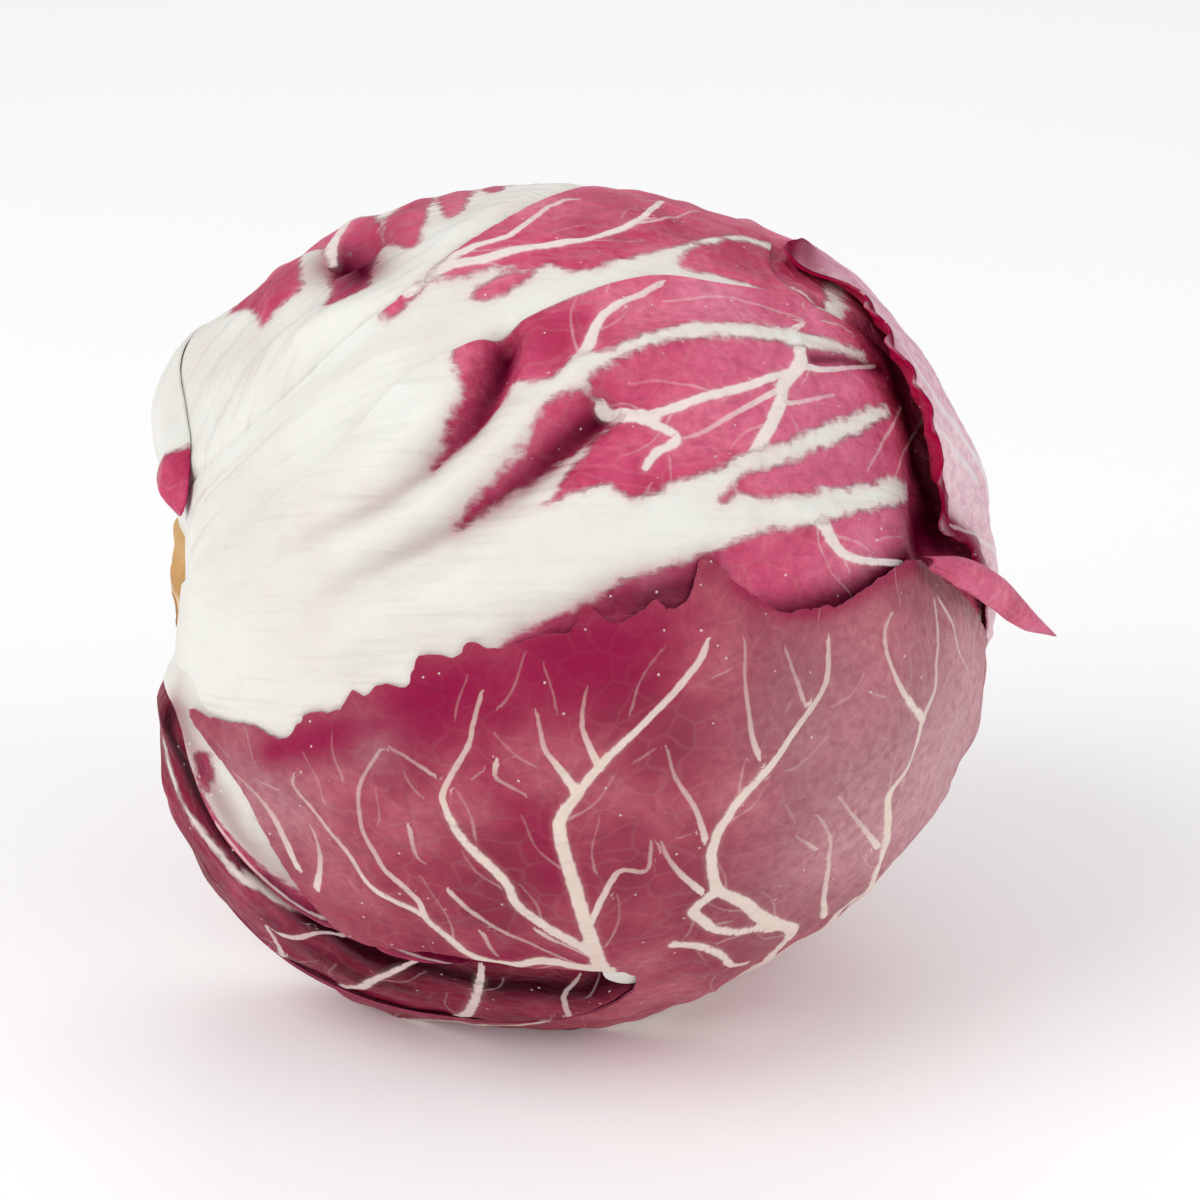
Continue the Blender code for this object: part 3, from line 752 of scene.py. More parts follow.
def twigs(veins, length):
    # fine side veins, left and right in turn
    grown = []
    for wide, narrow, places in veins:
        if wide < leafBuild["broadVein"]:
            continue
        line = unit(smoothLine(places, 3))
        for spot in range(2, len(line) - 2, 3):
            here = line[spot]
            ahead = unit(line[spot + 1] - here)
            aside = np.cross(here, ahead) * (1 if spot % 2 == 0 else -1)
            reach = length / head["radius"] * (0.75 + 0.6 * noise.noise(Vector(here * 40)))
            twig = [here + reach * (on * ahead + off * aside) for on, off in leafBuild["twigBends"]]
            grown.append((leafBuild["twigWidth"], leafBuild["twigEnd"], twig))
    return grown


def raggedRing(ring, height):
    # fine uneven teeth along a leaf's margin, height in degrees
    teeth = [noise.noise_vector(Vector((*spot, 0)) * 0.9) for spot in ring]
    return ring + height * np.array(teeth)[:, :2]


def sortVeins(veins):
    # the broad parts of the veins, and the thin parts, which give way to those before them
    broad, thin = [], []
    for vein in veins:
        lines = joinLines([vein], taper=1.5)
        isThin = lines[2] <= leafBuild["broadVein"]
        broad.append([column[~isThin] for column in lines])
        isTwig = vein[0] <= leafBuild["twigWidth"]
        clearance = leafBuild["twigClearance"] if isTwig else leafBuild["veinClearance"]
        for other in thin:
            isThin = isThin & (np.abs(nearest(lines[0], other)[1]) > clearance)
        if isThin.any():
            thin.append([column[isThin] for column in lines])
    broad, thin = ([np.concatenate(column) for column in zip(*group)] for group in (broad, thin))
    return (broad if broad and len(broad[0]) else None), (thin or None)


def prepareLeaf(leaf):
    leaf["plane"] = leafPlane(leaf["middle"])
    base = [(collar(turn), turn) for turn in leaf["base"]]
    leaf["corners"] = flatten(leaf["plane"], direction(*np.transpose(base + leaf["outline"])))
    leaf["ring"] = raggedRing(smoothRing(leaf["corners"], 1.0), leaf.get("ragged", 0))
    ribs, veins = onHead(leaf.get("ribs", [])), onHead(leaf.get("veins", []))
    if "fan" in leaf:
        fanned = fanRibs(leaf["fan"])
        ribs, veins = ribs + fanned[0], veins + fanned[1]
    veins = veins + twigs(veins, leafBuild["twigLength"])
    leaf["ribLines"] = joinLines(ribs) if ribs else None
    leaf["broadVeins"], leaf["thinVeins"] = sortVeins(veins)


def leafOutside(leaf, places, surface, inside):
    lift = leaf["edgeLift"] + (leaf["lift"] - leaf["edgeLift"]) * step(inside, 0, leafBuild["settleWidth"])
    outside = surface + lift
    if "swelling" in leaf:
        settled = step(inside, -1, leaf.get("swellingEdge", 0))
        outside = outside + swelling(places, *leaf["swelling"]) * settled
    if "lip" in leaf:
        height, width, *spot = leaf["lip"]
        outside = outside + swelling(places, *spot, height) * (1 - step(inside, 0, width))
    return outside


def leafThickness(leaf, places, inside):
    # thick beside the stem, a thin blade further out and thinner at the edge
    polar = np.degrees(np.arccos(np.clip(-places[:, 0], -1, 1)))
    full = leaf["blade"] + leafBuild["baseThickness"] * (1 - step(polar, *leafBuild["baseEnd"]))
    thin = leafBuild["edgeThickness"]
    return thin + (full - thin) * step(inside, 0, leafBuild["edgeWidth"])


def roomUnder(uppers, places, surface):
    # how far out a leaf may reach under the leaves that lie over it
    room = middle[2] / np.maximum(-places[:, 2], 0.05)
    for upper in uppers:
        inside = inward(places, upper["plane"], upper["ring"])
        held = np.maximum(inside, 0)
        outside = np.minimum(leafOutside(upper, places, surface, held), room)
        under = outside - leafThickness(upper, places, held) - leafBuild["gap"]
        under = under + leafBuild["rise"] * np.maximum(-inside, 0)
        room = np.where(inside > -leafBuild["underReach"], np.minimum(room, under), room)
    return room


def nearestOnRing(points, ring):
    run = np.roll(ring, -1, axis=0) - ring
    lengths = np.maximum((run**2).sum(1), 1e-12)
    offset = points[:, None, :] - ring[None, :, :]
    along = np.clip((offset * run).sum(2) / lengths, 0, 1)
    spots = ring[None, :, :] + along[:, :, None] * run
    pick = np.argmin(((points[:, None, :] - spots) ** 2).sum(2), axis=1)
    return spots[np.arange(len(points)), pick]


def borderVerts(sheet):
    return [vert for vert in sheet.verts if vert.is_boundary]


def openSides(part):
    # how many of the edges around a face, or at a vertex, lie on the sheet's border
    edges = part.edges if isinstance(part, bmesh.types.BMFace) else part.link_edges
    return sum(edge.is_boundary for edge in edges)


def trimGrid(sheet, ring):
    centres = np.array([face.calc_center_median()[:2] for face in sheet.faces])
    cut = [face for face, kept in zip(sheet.faces, insideRing(centres, ring)) if not kept]
    bmesh.ops.delete(sheet, geom=cut, context="FACES")
    while True:
        # no face hangs on by a corner or by one side
        loose = [face for face in sheet.faces if openSides(face) > 2]
        loose += [max(vert.link_faces, key=openSides) for vert in sheet.verts if openSides(vert) > 2]
        if not loose:
            return
        bmesh.ops.delete(sheet, geom=list(set(loose)), context="FACES")


def leafSheet(leaf):
    # a flat grid in the leaf's own plane, cut to its outline
    ring, cell = leaf["ring"], leaf["cell"]
    low, high = ring.min(0) - cell, ring.max(0) + cell
    counts = np.ceil((high - low) / cell).astype(int)
    place = Matrix.Translation(Vector((*(low + high) / 2, 0)))
    size = Matrix.Diagonal(Vector((*counts * cell / 2, 1, 1)))
    sheet = bmesh.new()
    bmesh.ops.create_grid(
        sheet, x_segments=int(counts[0]), y_segments=int(counts[1]), size=1, matrix=place @ size
    )
    trimGrid(sheet, ring)
    border = borderVerts(sheet)
    spots = nearestOnRing(np.array([vert.co[:2] for vert in border]), ring)
    for vert, spot in zip(border, spots):
        vert.co[:2] = spot
    for corner in leaf["corners"]:
        closest = np.argmin(((spots - corner) ** 2).sum(1))
        if np.linalg.norm(spots[closest] - corner) < cell:
            border[closest].co[:2] = corner
    near = {other for vert in border for edge in vert.link_edges for other in edge.verts}
    near |= {other for vert in near for edge in vert.link_edges for other in edge.verts}
    for _ in range(4):
        bmesh.ops.smooth_vert(
            sheet,
            verts=[vert for vert in near if not vert.is_boundary],
            factor=0.5,
            use_axis_x=True,
            use_axis_y=True,
            use_axis_z=True,
        )
    return sheet


# how a place is marked where a leaf has nothing special: depths and widths in mm, strengths from 0 to 1
plainMarks = {
    "red": 6.0,
    "broadVein": -9.0,
    "veinDepth": -9.0,
    "veinSide": 9.0,
    "veinHalf": 0.1,
    "paintedShadeAndCrimson": 0.0,
    "dusty": 0.0,
}


def redDepth(leaf, places):
    # how far inside the red of the leaf each place lies, negative in the white
    limit = plainMarks["red"]
    depth = np.full(len(places), limit)
    if "patches" in leaf:
        rings = [flatten(leaf["plane"], direction(*np.transpose(patch))) for patch in leaf["patches"]]
        depth = np.max([inward(places, leaf["plane"], smoothRing(ring, 1.0)) for ring in rings], axis=0)
    if leaf["ribLines"] is not None:
        depth = np.minimum(depth, -nearest(places, leaf["ribLines"])[0])
    return np.clip(depth, -limit, limit)


def markLeaf(leaf, places):
    # what the materials need to know about each place of a leaf
    marks = {name: np.full(len(places), value) for name, value in plainMarks.items()}
    marks["red"] = redDepth(leaf, places)
    limit = plainMarks["veinSide"]
    if leaf["thinVeins"]:
        deep, side, marks["veinHalf"] = nearest(places, leaf["thinVeins"])
        marks["veinDepth"], marks["veinSide"] = np.maximum(deep, -limit), np.clip(side, -limit, limit)
    if leaf["broadVeins"]:
        marks["broadVein"] = np.maximum(nearest(places, leaf["broadVeins"])[0], -limit)
    # painted shade, and the deeper crimson of some margins, spread out from each listed line
    for width, atStart, atEnd, line in leaf.get("paintedShadeAndCrimson", []):
        shadow = joinLines([(atStart, atEnd, direction(*np.transpose(line)))])
        away, strength = nearest(places, shadow)[1:]
        marks["paintedShadeAndCrimson"] = np.maximum(marks["paintedShadeAndCrimson"], strength * np.exp(-((away / width) ** 2)))
    dusty = sum((swelling(places, *spot) for spot in leaf.get("dusty", [])), marks["dusty"])
    marks["dusty"] = np.clip(dusty, 0, 1)
    return marks


def grooves(places):
    polar = np.arccos(np.clip(-places[:, 0], -1, 1))
    turn = np.arctan2(places[:, 2], -places[:, 1])
    count, run = leafBuild["grooveCount"], leafBuild["grooveRun"]
    rows = np.stack([np.cos(turn) * count, np.sin(turn) * count, polar * run], axis=-1)
    waves = np.array([noise.noise(Vector(row)) + 0.5 * noise.noise(Vector(row * 2.1)) for row in rows])
    return waves * step(polar, *leafBuild["grooveStart"]) * (1 - step(polar, *leafBuild["grooveEnd"]))


def relief(leaf, places, marks):
    # leaf blades are puckered between their ribs and the veins stand up a little
    build = leafBuild
    bumps = pucker(places, build["puckerSize"], 3.1) + 0.5 * pucker(places, build["puckerSize"] / 2.3, 9.7)
    bumps = bumps + 1.3 * pucker(places, build["puckerSize"] * 2.6, 5.3)
    vein = 0.6 * np.exp(-((marks["veinSide"] / (1.3 * marks["veinHalf"] + 0.35)) ** 2))
    vein = np.maximum(vein, 1.2 * step(marks["broadVein"], -0.7, 0.5))
    height = build["puckerHeight"] * bumps * (0.3 + 0.7 * step(marks["red"], -1, 3))
    height = height + build["grooveHeight"] * grooves(places) * (1 - step(marks["red"], -2, 2))
    return height + build["veinHeight"] * vein


def smoothMesh(name, sheet):
    bmesh.ops.recalc_face_normals(sheet, faces=sheet.faces)
    mesh = bpy.data.meshes.new(name)
    sheet.to_mesh(mesh)
    sheet.free()
    mesh.polygons.foreach_set("use_smooth", np.ones(len(mesh.polygons), dtype=bool))
    return mesh


def sheetMesh(name, sheet, marks, flat):
    # the sheet's vertices carry the number of the place they came from, which marks and flat go by
    bmesh.ops.transform(sheet, verts=sheet.verts, matrix=Matrix.Translation(Vector(middle)))
    bmesh.ops.scale(sheet, verts=sheet.verts, vec=(0.001, 0.001, 0.001))
    mesh = smoothMesh(name, sheet)
    numbers = np.zeros(len(mesh.vertices), np.int32)
    mesh.attributes["number"].data.foreach_get("value", numbers)
    for mark, values in marks.items():
        values = values[numbers].astype(np.float32)
        mesh.attributes.new(mark, "FLOAT", "POINT").data.foreach_set("value", values)
    corners = np.zeros(len(mesh.loops), np.int32)
    mesh.loops.foreach_get("vertex_index", corners)
    layer = mesh.uv_layers.new(name="leafPlane")
    layer.data.foreach_set("uv", (flat[numbers[corners]] / 1000).astype(np.float32).ravel())
    mesh.attributes.remove(mesh.attributes["number"])
    mesh.set_sharp_from_angle(angle=math.radians(55))
    return mesh


def addObject(name, data):
    thing = bpy.data.objects.new(name, data)
    bpy.context.scene.collection.objects.link(thing)
    return thing


def addPiece(name, mesh, material):
    mesh.materials.append(material)
    piece = addObject(name, mesh)
    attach(piece, "root")
    return piece


def leafMesh(leaf, sheet, points, places, outer, inner, marks):
    # the outer face, and the inner face grown from it
    number = sheet.verts.layers.int.new("number")
    within = sheet.verts.layers.float.new("inside")
    for index, vert in enumerate(sheet.verts):
        vert[number] = index
        vert.co = Vector(places[index] * outer[index])
    grown = bmesh.ops.extrude_face_region(sheet, geom=sheet.faces[:], use_keep_orig=True)
    for item in grown["geom"]:
        if isinstance(item, bmesh.types.BMVert):
            item[within] = 1
            item.co = Vector(places[item[number]] * inner[item[number]])
    return sheetMesh(leaf["name"], sheet, marks, np.radians(points) * head["radius"])


def buildLeaf(leaf, uppers):
    sheet = leafSheet(leaf)
    sheet.verts.ensure_lookup_table()
    points = np.array([vert.co[:2] for vert in sheet.verts])
    places = wrap(leaf["plane"], points)
    surface = headRadius(places)
    inside = np.maximum(inward(places, leaf["plane"], leaf["ring"]), 0)
    marks = markLeaf(leaf, places)
    room = roomUnder(uppers, places, surface)
    wanted = leafOutside(leaf, places, surface, inside) + relief(leaf, places, marks) * step(inside, -1, 4)
    outer = np.minimum(wanted, room)
    inner = outer - leafThickness(leaf, places, inside)
    mesh = leafMesh(leaf, sheet, points, places, outer, inner, marks)
    piece = addPiece(leaf["name"], mesh, leafMaterials[leaf["look"]])
    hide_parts(leaf["replaces"])
    print("built", leaf["name"], "with", len(mesh.polygons), "faces")


def colour(code):
    # linear values of an sRGB code
    channels = [int(code[start : start + 2], 16) / 255 for start in (0, 2, 4)]
    return (*[c / 12.92 if c <= 0.04045 else ((c + 0.055) / 1.055) ** 2.4 for c in channels], 1)


def addNode(tree, kind, inputs=None, output=0, **settings):
    node = tree.nodes.new("ShaderNode" + kind)
    for name, value in settings.items():
        setattr(node, name, value)
    for name, value in (inputs or {}).items():
        if isinstance(value, bpy.types.NodeSocket):
            tree.links.new(value, node.inputs[name])
        else:
            node.inputs[name].default_value = value
    return node.outputs[output] if len(node.outputs) else None


def fillRamp(ramp, stops):
    elements = ramp.node.color_ramp.elements
    first, *between, last = stops
    for element, (position, code) in zip(elements, (first, last)):
        element.position, element.color = position, colour(code)
    for position, code in between:
        elements.new(position).color = colour(code)


def newMaterial(name):
    material = bpy.data.materials.new(name)
    material.use_nodes = True
    material.node_tree.nodes.clear()
    return material, material.node_tree


# A radicchio leaf is a waxy crimson blade over thick white ribs: satin, a little see-through, with a fine
# net of veins pressed into the red and faint lengthwise grain in the white.
# the shade colours of each look are painted shade, laid on the blade and on the white ribs where a leaf's
# lines of shade fall; for the wrapper and crown leaves they also give the deeper crimson of their margins
leafLooks = {
    "red": {
        "name": "radicchioRedBlade",
        "blade": ("BA2C58", "D34C74", "E2708F"),
        "bladeShadeAndCrimson": "520020",
        "bladeDusty": "EA90AE",
        "net": "A82C54",
        "vein": "EFE2DE",
        "rib": ("EBEAE3", "E6DFD7"),
        "ribShade": "8A4A56",
        "inside": "B01850",
        "roughness": 0.42,
        "shine": 0.35,
    },
    "wrapper": {
        "name": "radicchioWrapperBlade",
        "blade": ("8C203E", "A2384F", "B85868"),
        "bladeShadeAndCrimson": "961446",
        "bladeDusty": "CDA0A6",
        "net": "86304A",
        "vein": "EAD8CC",
        "rib": ("F2F0EA", "EBDFDC"),
        "ribShade": "B08888",
        "inside": "C06484",
        "roughness": 0.5,
        "shine": 0.3,
    },
    # a darker copy of the red for the leaves underneath: partly their deeper crimson, partly painted shade;
    # its near-black shade colours are painted deep shadow
    "deep": {
        "name": "radicchioDeepAndShadedBlade",
        "blade": ("7A0E2C", "922040", "AC405C"),
        "bladeShadeAndCrimson": "1E0006",
        "bladeDusty": "C49AA8",
        "net": "6E1C38",
        "vein": "E8D4D0",
        "rib": ("EFE6E2", "E6D4D2"),
        "ribShade": "4A0416",
        "inside": "961040",
        "roughness": 0.45,
        "shine": 0.1,
    },
    "crown": {
        "name": "radicchioCrownBlade",
        "blade": ("CE7496", "E29CB4", "F0C0CE"),
        "bladeShadeAndCrimson": "7A0830",
        "bladeDusty": "F6DEE2",
        "net": "B4708E",
        "vein": "EADCDE",
        "rib": ("F2F0EA", "EBDFDC"),
        "ribShade": "B08888",
        "inside": "C01450",
        "roughness": 0.5,
        "shine": 0.3,
    },
}
patternSizes = {
    "cloud": 14.0,      # broad change of red across a blade, mm
    "wobble": 5.0,      # the winding of the red's edge
    "fringe": 1.3,
    "streak": 1.0,      # and its feathery breaks, drawn out along the ribs
    "streakLength": 6.0,
    "net": 3.6,         # spacing of the vein net
    "fineNet": 1.3,
    "grain": 0.7,       # lengthwise grain of the ribs
    "grainLength": 9.0,
    "furrow": 3.2,      # and their broader furrows
    "furrowLength": 34.0,
    "speck": 2.6,       # tiny pale specks
}


# how far each pattern pushes the edge of the red, mm
edgePush = {
    "wobble": 1.4,
    "streak": 1.3,
    "fringe": 1.5,
    "evenly": -2.1,
}

# how high each pattern stands on a leaf, in metres
bumpHeights = {
    "net": -0.00007,    # the net lies in furrows of the red
    "grain": 0.0001,
    "furrow": 0.0012,
    "fringe": 0.0002,
    "blister": 0.0017,  # the red stands up between the ribs
}


def leafPatterns(tree):
    # the patterns and marks that a leaf's colours and bumps share
    place = addNode(tree, "TexCoord", output="Object")
    plane = addNode(tree, "UVMap", uv_map="leafPlane")
    at = {"place": place, "plane": plane}
    for mark in (*plainMarks, "inside"):
        at[mark] = addNode(tree, "Attribute", attribute_name=mark, output="Fac")
    for name, detail in (("cloud", 3.0), ("wobble", 2.0), ("fringe", 4.0)):
        size = 1000 / patternSizes[name]
        at[name] = addNode(tree, "TexNoise", {"Vector": place, "Scale": size, "Detail": detail})
    for name, detail in (("streak", 4.0), ("grain", 3.0), ("furrow", 2.0)):
        sizes = (1000 / patternSizes[name + "Length"], 1000 / patternSizes[name], 1)
        stretched = addNode(tree, "Mapping", {"Vector": plane, "Scale": sizes})
        at[name] = addNode(tree, "TexNoise", {"Vector": stretched, "Scale": 1.0, "Detail": detail})
    return at


def markRed(tree, at):
    # the red stops at a feathery line
    push = edgePush["evenly"]
    for name in ("wobble", "streak", "fringe"):
        push = addNode(tree, "Math", {0: at[name], 1: edgePush[name], 2: push}, operation="MULTIPLY_ADD")
    at["edge"] = addNode(tree, "Math", {0: at["red"], 1: push}, operation="ADD")
    reach = {"Value": at["edge"], "From Min": -0.75, "From Max": 0.35}
    at["redMask"] = addNode(tree, "MapRange", reach, interpolation_type="SMOOTHSTEP")


def markThinVeins(tree, at):
    # fine veins fade out, and none shows where the marks of two of them meet
    side = addNode(tree, "Math", {0: at["veinSide"]}, operation="ABSOLUTE")
    away = addNode(tree, "Math", {0: at["fringe"], 1: 0.3, 2: side}, operation="MULTIPLY_ADD")
    within = addNode(tree, "Math", {0: at["veinHalf"], 1: away}, operation="SUBTRACT")
    reach = {"Value": within, "From Min": -0.34, "From Max": -0.1}
    vein = addNode(tree, "MapRange", reach, interpolation_type="SMOOTHSTEP")
    unsigned = addNode(tree, "Math", {0: at["veinHalf"], 1: at["veinDepth"]}, operation="SUBTRACT")
    mismatch = addNode(tree, "Math", {0: unsigned, 1: side}, operation="SUBTRACT")
    for reach in (
        {"Value": at["veinDepth"], "From Min": -0.6, "From Max": -0.42},
        {"Value": mismatch, "From Min": 0.56, "From Max": 0.7, "To Min": 1.0, "To Max": 0.0},
        {"Value": at["veinHalf"], "From Min": 0.05, "From Max": 0.4, "To Min": 0.14, "To Max": 0.95},
    ):
        strength = addNode(tree, "MapRange", reach)
        vein = addNode(tree, "Math", {0: vein, 1: strength}, operation="MULTIPLY")
    return vein


def markVeins(tree, at):
    thin = markThinVeins(tree, at)
    broad = addNode(tree, "Math", {0: at["fringe"], 1: -0.5, 2: at["broadVein"]}, operation="MULTIPLY_ADD")
    reach = {"Value": broad, "From Min": -0.5, "From Max": -0.15, "To Max": 0.95}
    broad = addNode(tree, "MapRange", reach, interpolation_type="SMOOTHSTEP")
    at["veins"] = addNode(tree, "Math", {0: thin, 1: broad}, operation="MAXIMUM")
    reach = {"Value": at["broadVein"], "From Min": -0.8, "From Max": 0.0, "To Max": 0.1}
    at["halo"] = addNode(tree, "MapRange", reach)


def markNet(tree, at):
    # the net of veinlets between the veins, coarse and fine
    wobble = at["wobble"].node.outputs["Color"]
    warp = addNode(tree, "Mix", {0: 0.003, 4: at["plane"], 5: wobble}, output=1, data_type="VECTOR")
    warp = addNode(tree, "Mapping", {"Vector": warp, "Scale": (0.6, 1, 1)})
    for name, width, strength in (("net", 0.07, 1.0), ("fineNet", 0.12, 0.55)):
        cells = {"Vector": warp, "Scale": 1000 / patternSizes[name]}
        line = addNode(tree, "TexVoronoi", cells, feature="DISTANCE_TO_EDGE")
        reach = {"Value": line, "From Max": width, "To Min": strength, "To Max": 0.0}
        at[name] = addNode(tree, "MapRange", reach)


def bladeColour(tree, at, look):
    blade = addNode(tree, "ValToRGB", {0: at["cloud"]})
    fillRamp(blade, zip((0.36, 0.5, 0.64), look["blade"]))
    fineNet = addNode(tree, "Math", {0: at["fineNet"], 1: 0.24}, operation="MULTIPLY")
    reach = {"Value": at["fringe"], "From Min": 0.4, "From Max": 0.66, "To Max": 0.32}
    mottle = addNode(tree, "MapRange", reach)
    paleNet = addNode(tree, "Math", {0: at["net"], 1: 0.045}, operation="MULTIPLY")
    inside = addNode(tree, "Math", {0: at["inside"], 1: 0.92}, operation="MULTIPLY")
    for amount, shade in (
        (at["dusty"], "bladeDusty"),
        (fineNet, "net"),
        (mottle, "net"),
        (paleNet, "vein"),
        # painted shade, and deeper crimson, along the leaf's lines of shade
        (at["paintedShadeAndCrimson"], "bladeShadeAndCrimson"),
        (at["halo"], "vein"),
        (at["veins"], "vein"),
        (inside, "inside"),
    ):
        coats = {0: amount, 6: blade, 7: colour(look[shade])}
        blade = addNode(tree, "Mix", coats, output=2, data_type="RGBA")
    return blade


def ribColour(tree, at, look):
    # the white has a faint blush, takes a stain from the red beside it, and gets painted shade in its
    # creases and hollows
    blush = addNode(tree, "MapRange", {"Value": at["cloud"], "From Min": 0.4, "From Max": 0.7})
    reach = {"Value": at["edge"], "From Min": -1.8, "From Max": 0.6, "To Max": 0.35}
    stain = addNode(tree, "MapRange", reach, interpolation_type="SMOOTHSTEP")
    pale, blushed = look["rib"]
    rib = colour(pale)
    for amount, code in ((blush, blushed), (at["paintedShadeAndCrimson"], look["ribShade"]), (stain, look["blade"][1])):
        rib = addNode(tree, "Mix", {0: amount, 6: rib, 7: colour(code)}, output=2, data_type="RGBA")
    return rib


def leafBump(tree, at):
    netMask = addNode(tree, "Math", {0: at["net"], 1: at["fineNet"]}, operation="MAXIMUM")
    at["netInRed"] = addNode(tree, "Math", {0: netMask, 1: at["redMask"]}, operation="MULTIPLY")
    at["blister"] = addNode(tree, "Math", {0: at["wobble"], 1: at["redMask"]}, operation="MULTIPLY")
    height = addNode(tree, "Math", {0: at["netInRed"], 1: bumpHeights["net"]}, operation="MULTIPLY")
    for name in ("grain", "furrow", "fringe", "blister"):
        raised = {0: at[name], 1: bumpHeights[name], 2: height}
        height = addNode(tree, "Math", raised, operation="MULTIPLY_ADD")
    return addNode(tree, "Bump", {"Height": height, "Strength": 0.8, "Distance": 1.0})


def leafMaterial(look):
    material, tree = newMaterial(look["name"])
    at = leafPatterns(tree)
    markRed(tree, at)
    markVeins(tree, at)
    markNet(tree, at)
    coats = {0: at["redMask"], 6: ribColour(tree, at, look), 7: bladeColour(tree, at, look)}
    base = addNode(tree, "Mix", coats, output=2, data_type="RGBA")
    # tiny pale specks
    spot = addNode(tree, "TexVoronoi", {"Vector": at["place"], "Scale": 1000 / patternSizes["speck"]})
    reach = {"Value": spot, "From Min": 0.05, "From Max": 0.08, "To Min": 0.7, "To Max": 0.0}
    speck = addNode(tree, "MapRange", reach)
    base = addNode(tree, "Mix", {0: speck, 6: base, 7: colour(look["vein"])}, output=2, data_type="RGBA")
    rough = {"Value": at["fringe"], "To Min": look["roughness"] - 0.08, "To Max": look["roughness"] + 0.1}
    # what is shaded or inside the head does not shine
    sheltered = addNode(tree, "Math", {0: at["paintedShadeAndCrimson"], 1: at["inside"]}, operation="MAXIMUM")
    shine = addNode(tree, "MapRange", {"Value": sheltered, "To Min": look["shine"], "To Max": 0.0})
    surface = {
        "Base Color": base,
        "Specular IOR Level": shine,
        "Roughness": addNode(tree, "MapRange", rough),
        "Normal": leafBump(tree, at),
        "IOR": 1.42,
        "Subsurface Weight": 0.12,
        "Subsurface Radius": (1.0, 0.5, 0.5),
        "Subsurface Scale": 0.0015,
    }
    shader = addNode(tree, "BsdfPrincipled", surface)
    addNode(tree, "OutputMaterial", {"Surface": shader})
    return material


# the pinched tip of the wrapper leaf, folded back over itself
wrapperLapel = {
    "name": "wrapperLapel",
    "slot": "wrapper_leaf",
    "look": "red",
    # polar, turn, distance from the middle of the head
    "fold": [(142.5, 29, 56.4), (150, 30.5, 57.8), (159, 28, 59.2), (168, 14, 61.3), (172.8, -16, 64.2)],
    "edge": [(142.5, 26.5, 57.2), (148, 23.5, 57.8), (155, 19.5, 58.4), (166, 6, 60.2), (172.8, -16, 64.2)],
    "segments": (72, 14),
    "size": (28, 8),
    "bulge": 1.3,
    "ripple": 0.5,
    "thickness": 0.45,
    "dusty": 0.2,
}


def polarLine(rows):
    polar, turn, distance = np.transpose(rows)
    return smoothLine(direction(polar, turn) * distance[:, None], 24)


def buildLapel(lapel):
    fold, edge = polarLine(lapel["fold"]), polarLine(lapel["edge"])
    sheet = bmesh.new()
    across, down = lapel["segments"]
    bmesh.ops.create_grid(sheet, x_segments=across, y_segments=down, size=1)
    number = sheet.verts.layers.int.new("number")
    sheet.verts.layers.float.new("inside")
    points = []
    for index, vert in enumerate(sheet.verts):
        along, drop = (vert.co.x + 1) / 2, (vert.co.y + 1) / 2
        spot = along * (len(fold) - 1)
        low = min(int(spot), len(fold) - 2)
        part = spot - low
        start = fold[low] * (1 - part) + fold[low + 1] * part
        end = edge[low] * (1 - part) + edge[low + 1] * part
        place = start + (end - start) * drop
        swell = lapel["bulge"] * math.sin(math.pi * drop ** 0.7) * (1 - along) ** 0.4
        ripple = lapel["ripple"] * noise.noise(Vector((along * 9, drop * 2, 4.0))) * drop
        vert.co = Vector(place * (1 + (swell + ripple) / np.linalg.norm(place)))
        vert[number] = index
        points.append(np.array((along, drop)) * lapel["size"])
    grown = bmesh.ops.extrude_face_region(sheet, geom=sheet.faces[:], use_keep_orig=True)
    for item in grown["geom"]:
        if isinstance(item, bmesh.types.BMVert):
            item.co = item.co * (1 - lapel["thickness"] / item.co.length)
    marks = {name: np.full(len(points), value) for name, value in plainMarks.items()}
    marks["dusty"] += lapel["dusty"]
    mesh = sheetMesh(lapel["name"], sheet, marks, np.array(points))
    piece = addPiece(lapel["name"], mesh, leafMaterials[lapel["look"]])
    print("built", lapel["name"])


leafMaterials = {key: leafMaterial(look) for key, look in leafLooks.items()}
buildLapel(wrapperLapel)
for leaf in layers:
    prepareLeaf(leaf)
for position, leaf in enumerate(layers):
    buildLeaf(leaf, layers[:position])


# The hidden heart: plain crimson leaf, mottled.
def heartMaterial():
    material, tree = newMaterial("radicchioHeartBlade")
    place = addNode(tree, "TexCoord", output="Object")
    cloud = addNode(tree, "TexNoise", {"Vector": place, "Scale": 90.0, "Detail": 5.0})
    coats = {0: cloud, 6: colour("7A1A3E"), 7: colour("D8A8B8")}
    base = addNode(tree, "Mix", coats, output=2, data_type="RGBA")
    shader = addNode(tree, "BsdfPrincipled", {"Base Color": base, "Roughness": 0.5})
    addNode(tree, "OutputMaterial", {"Surface": shader})
    return material


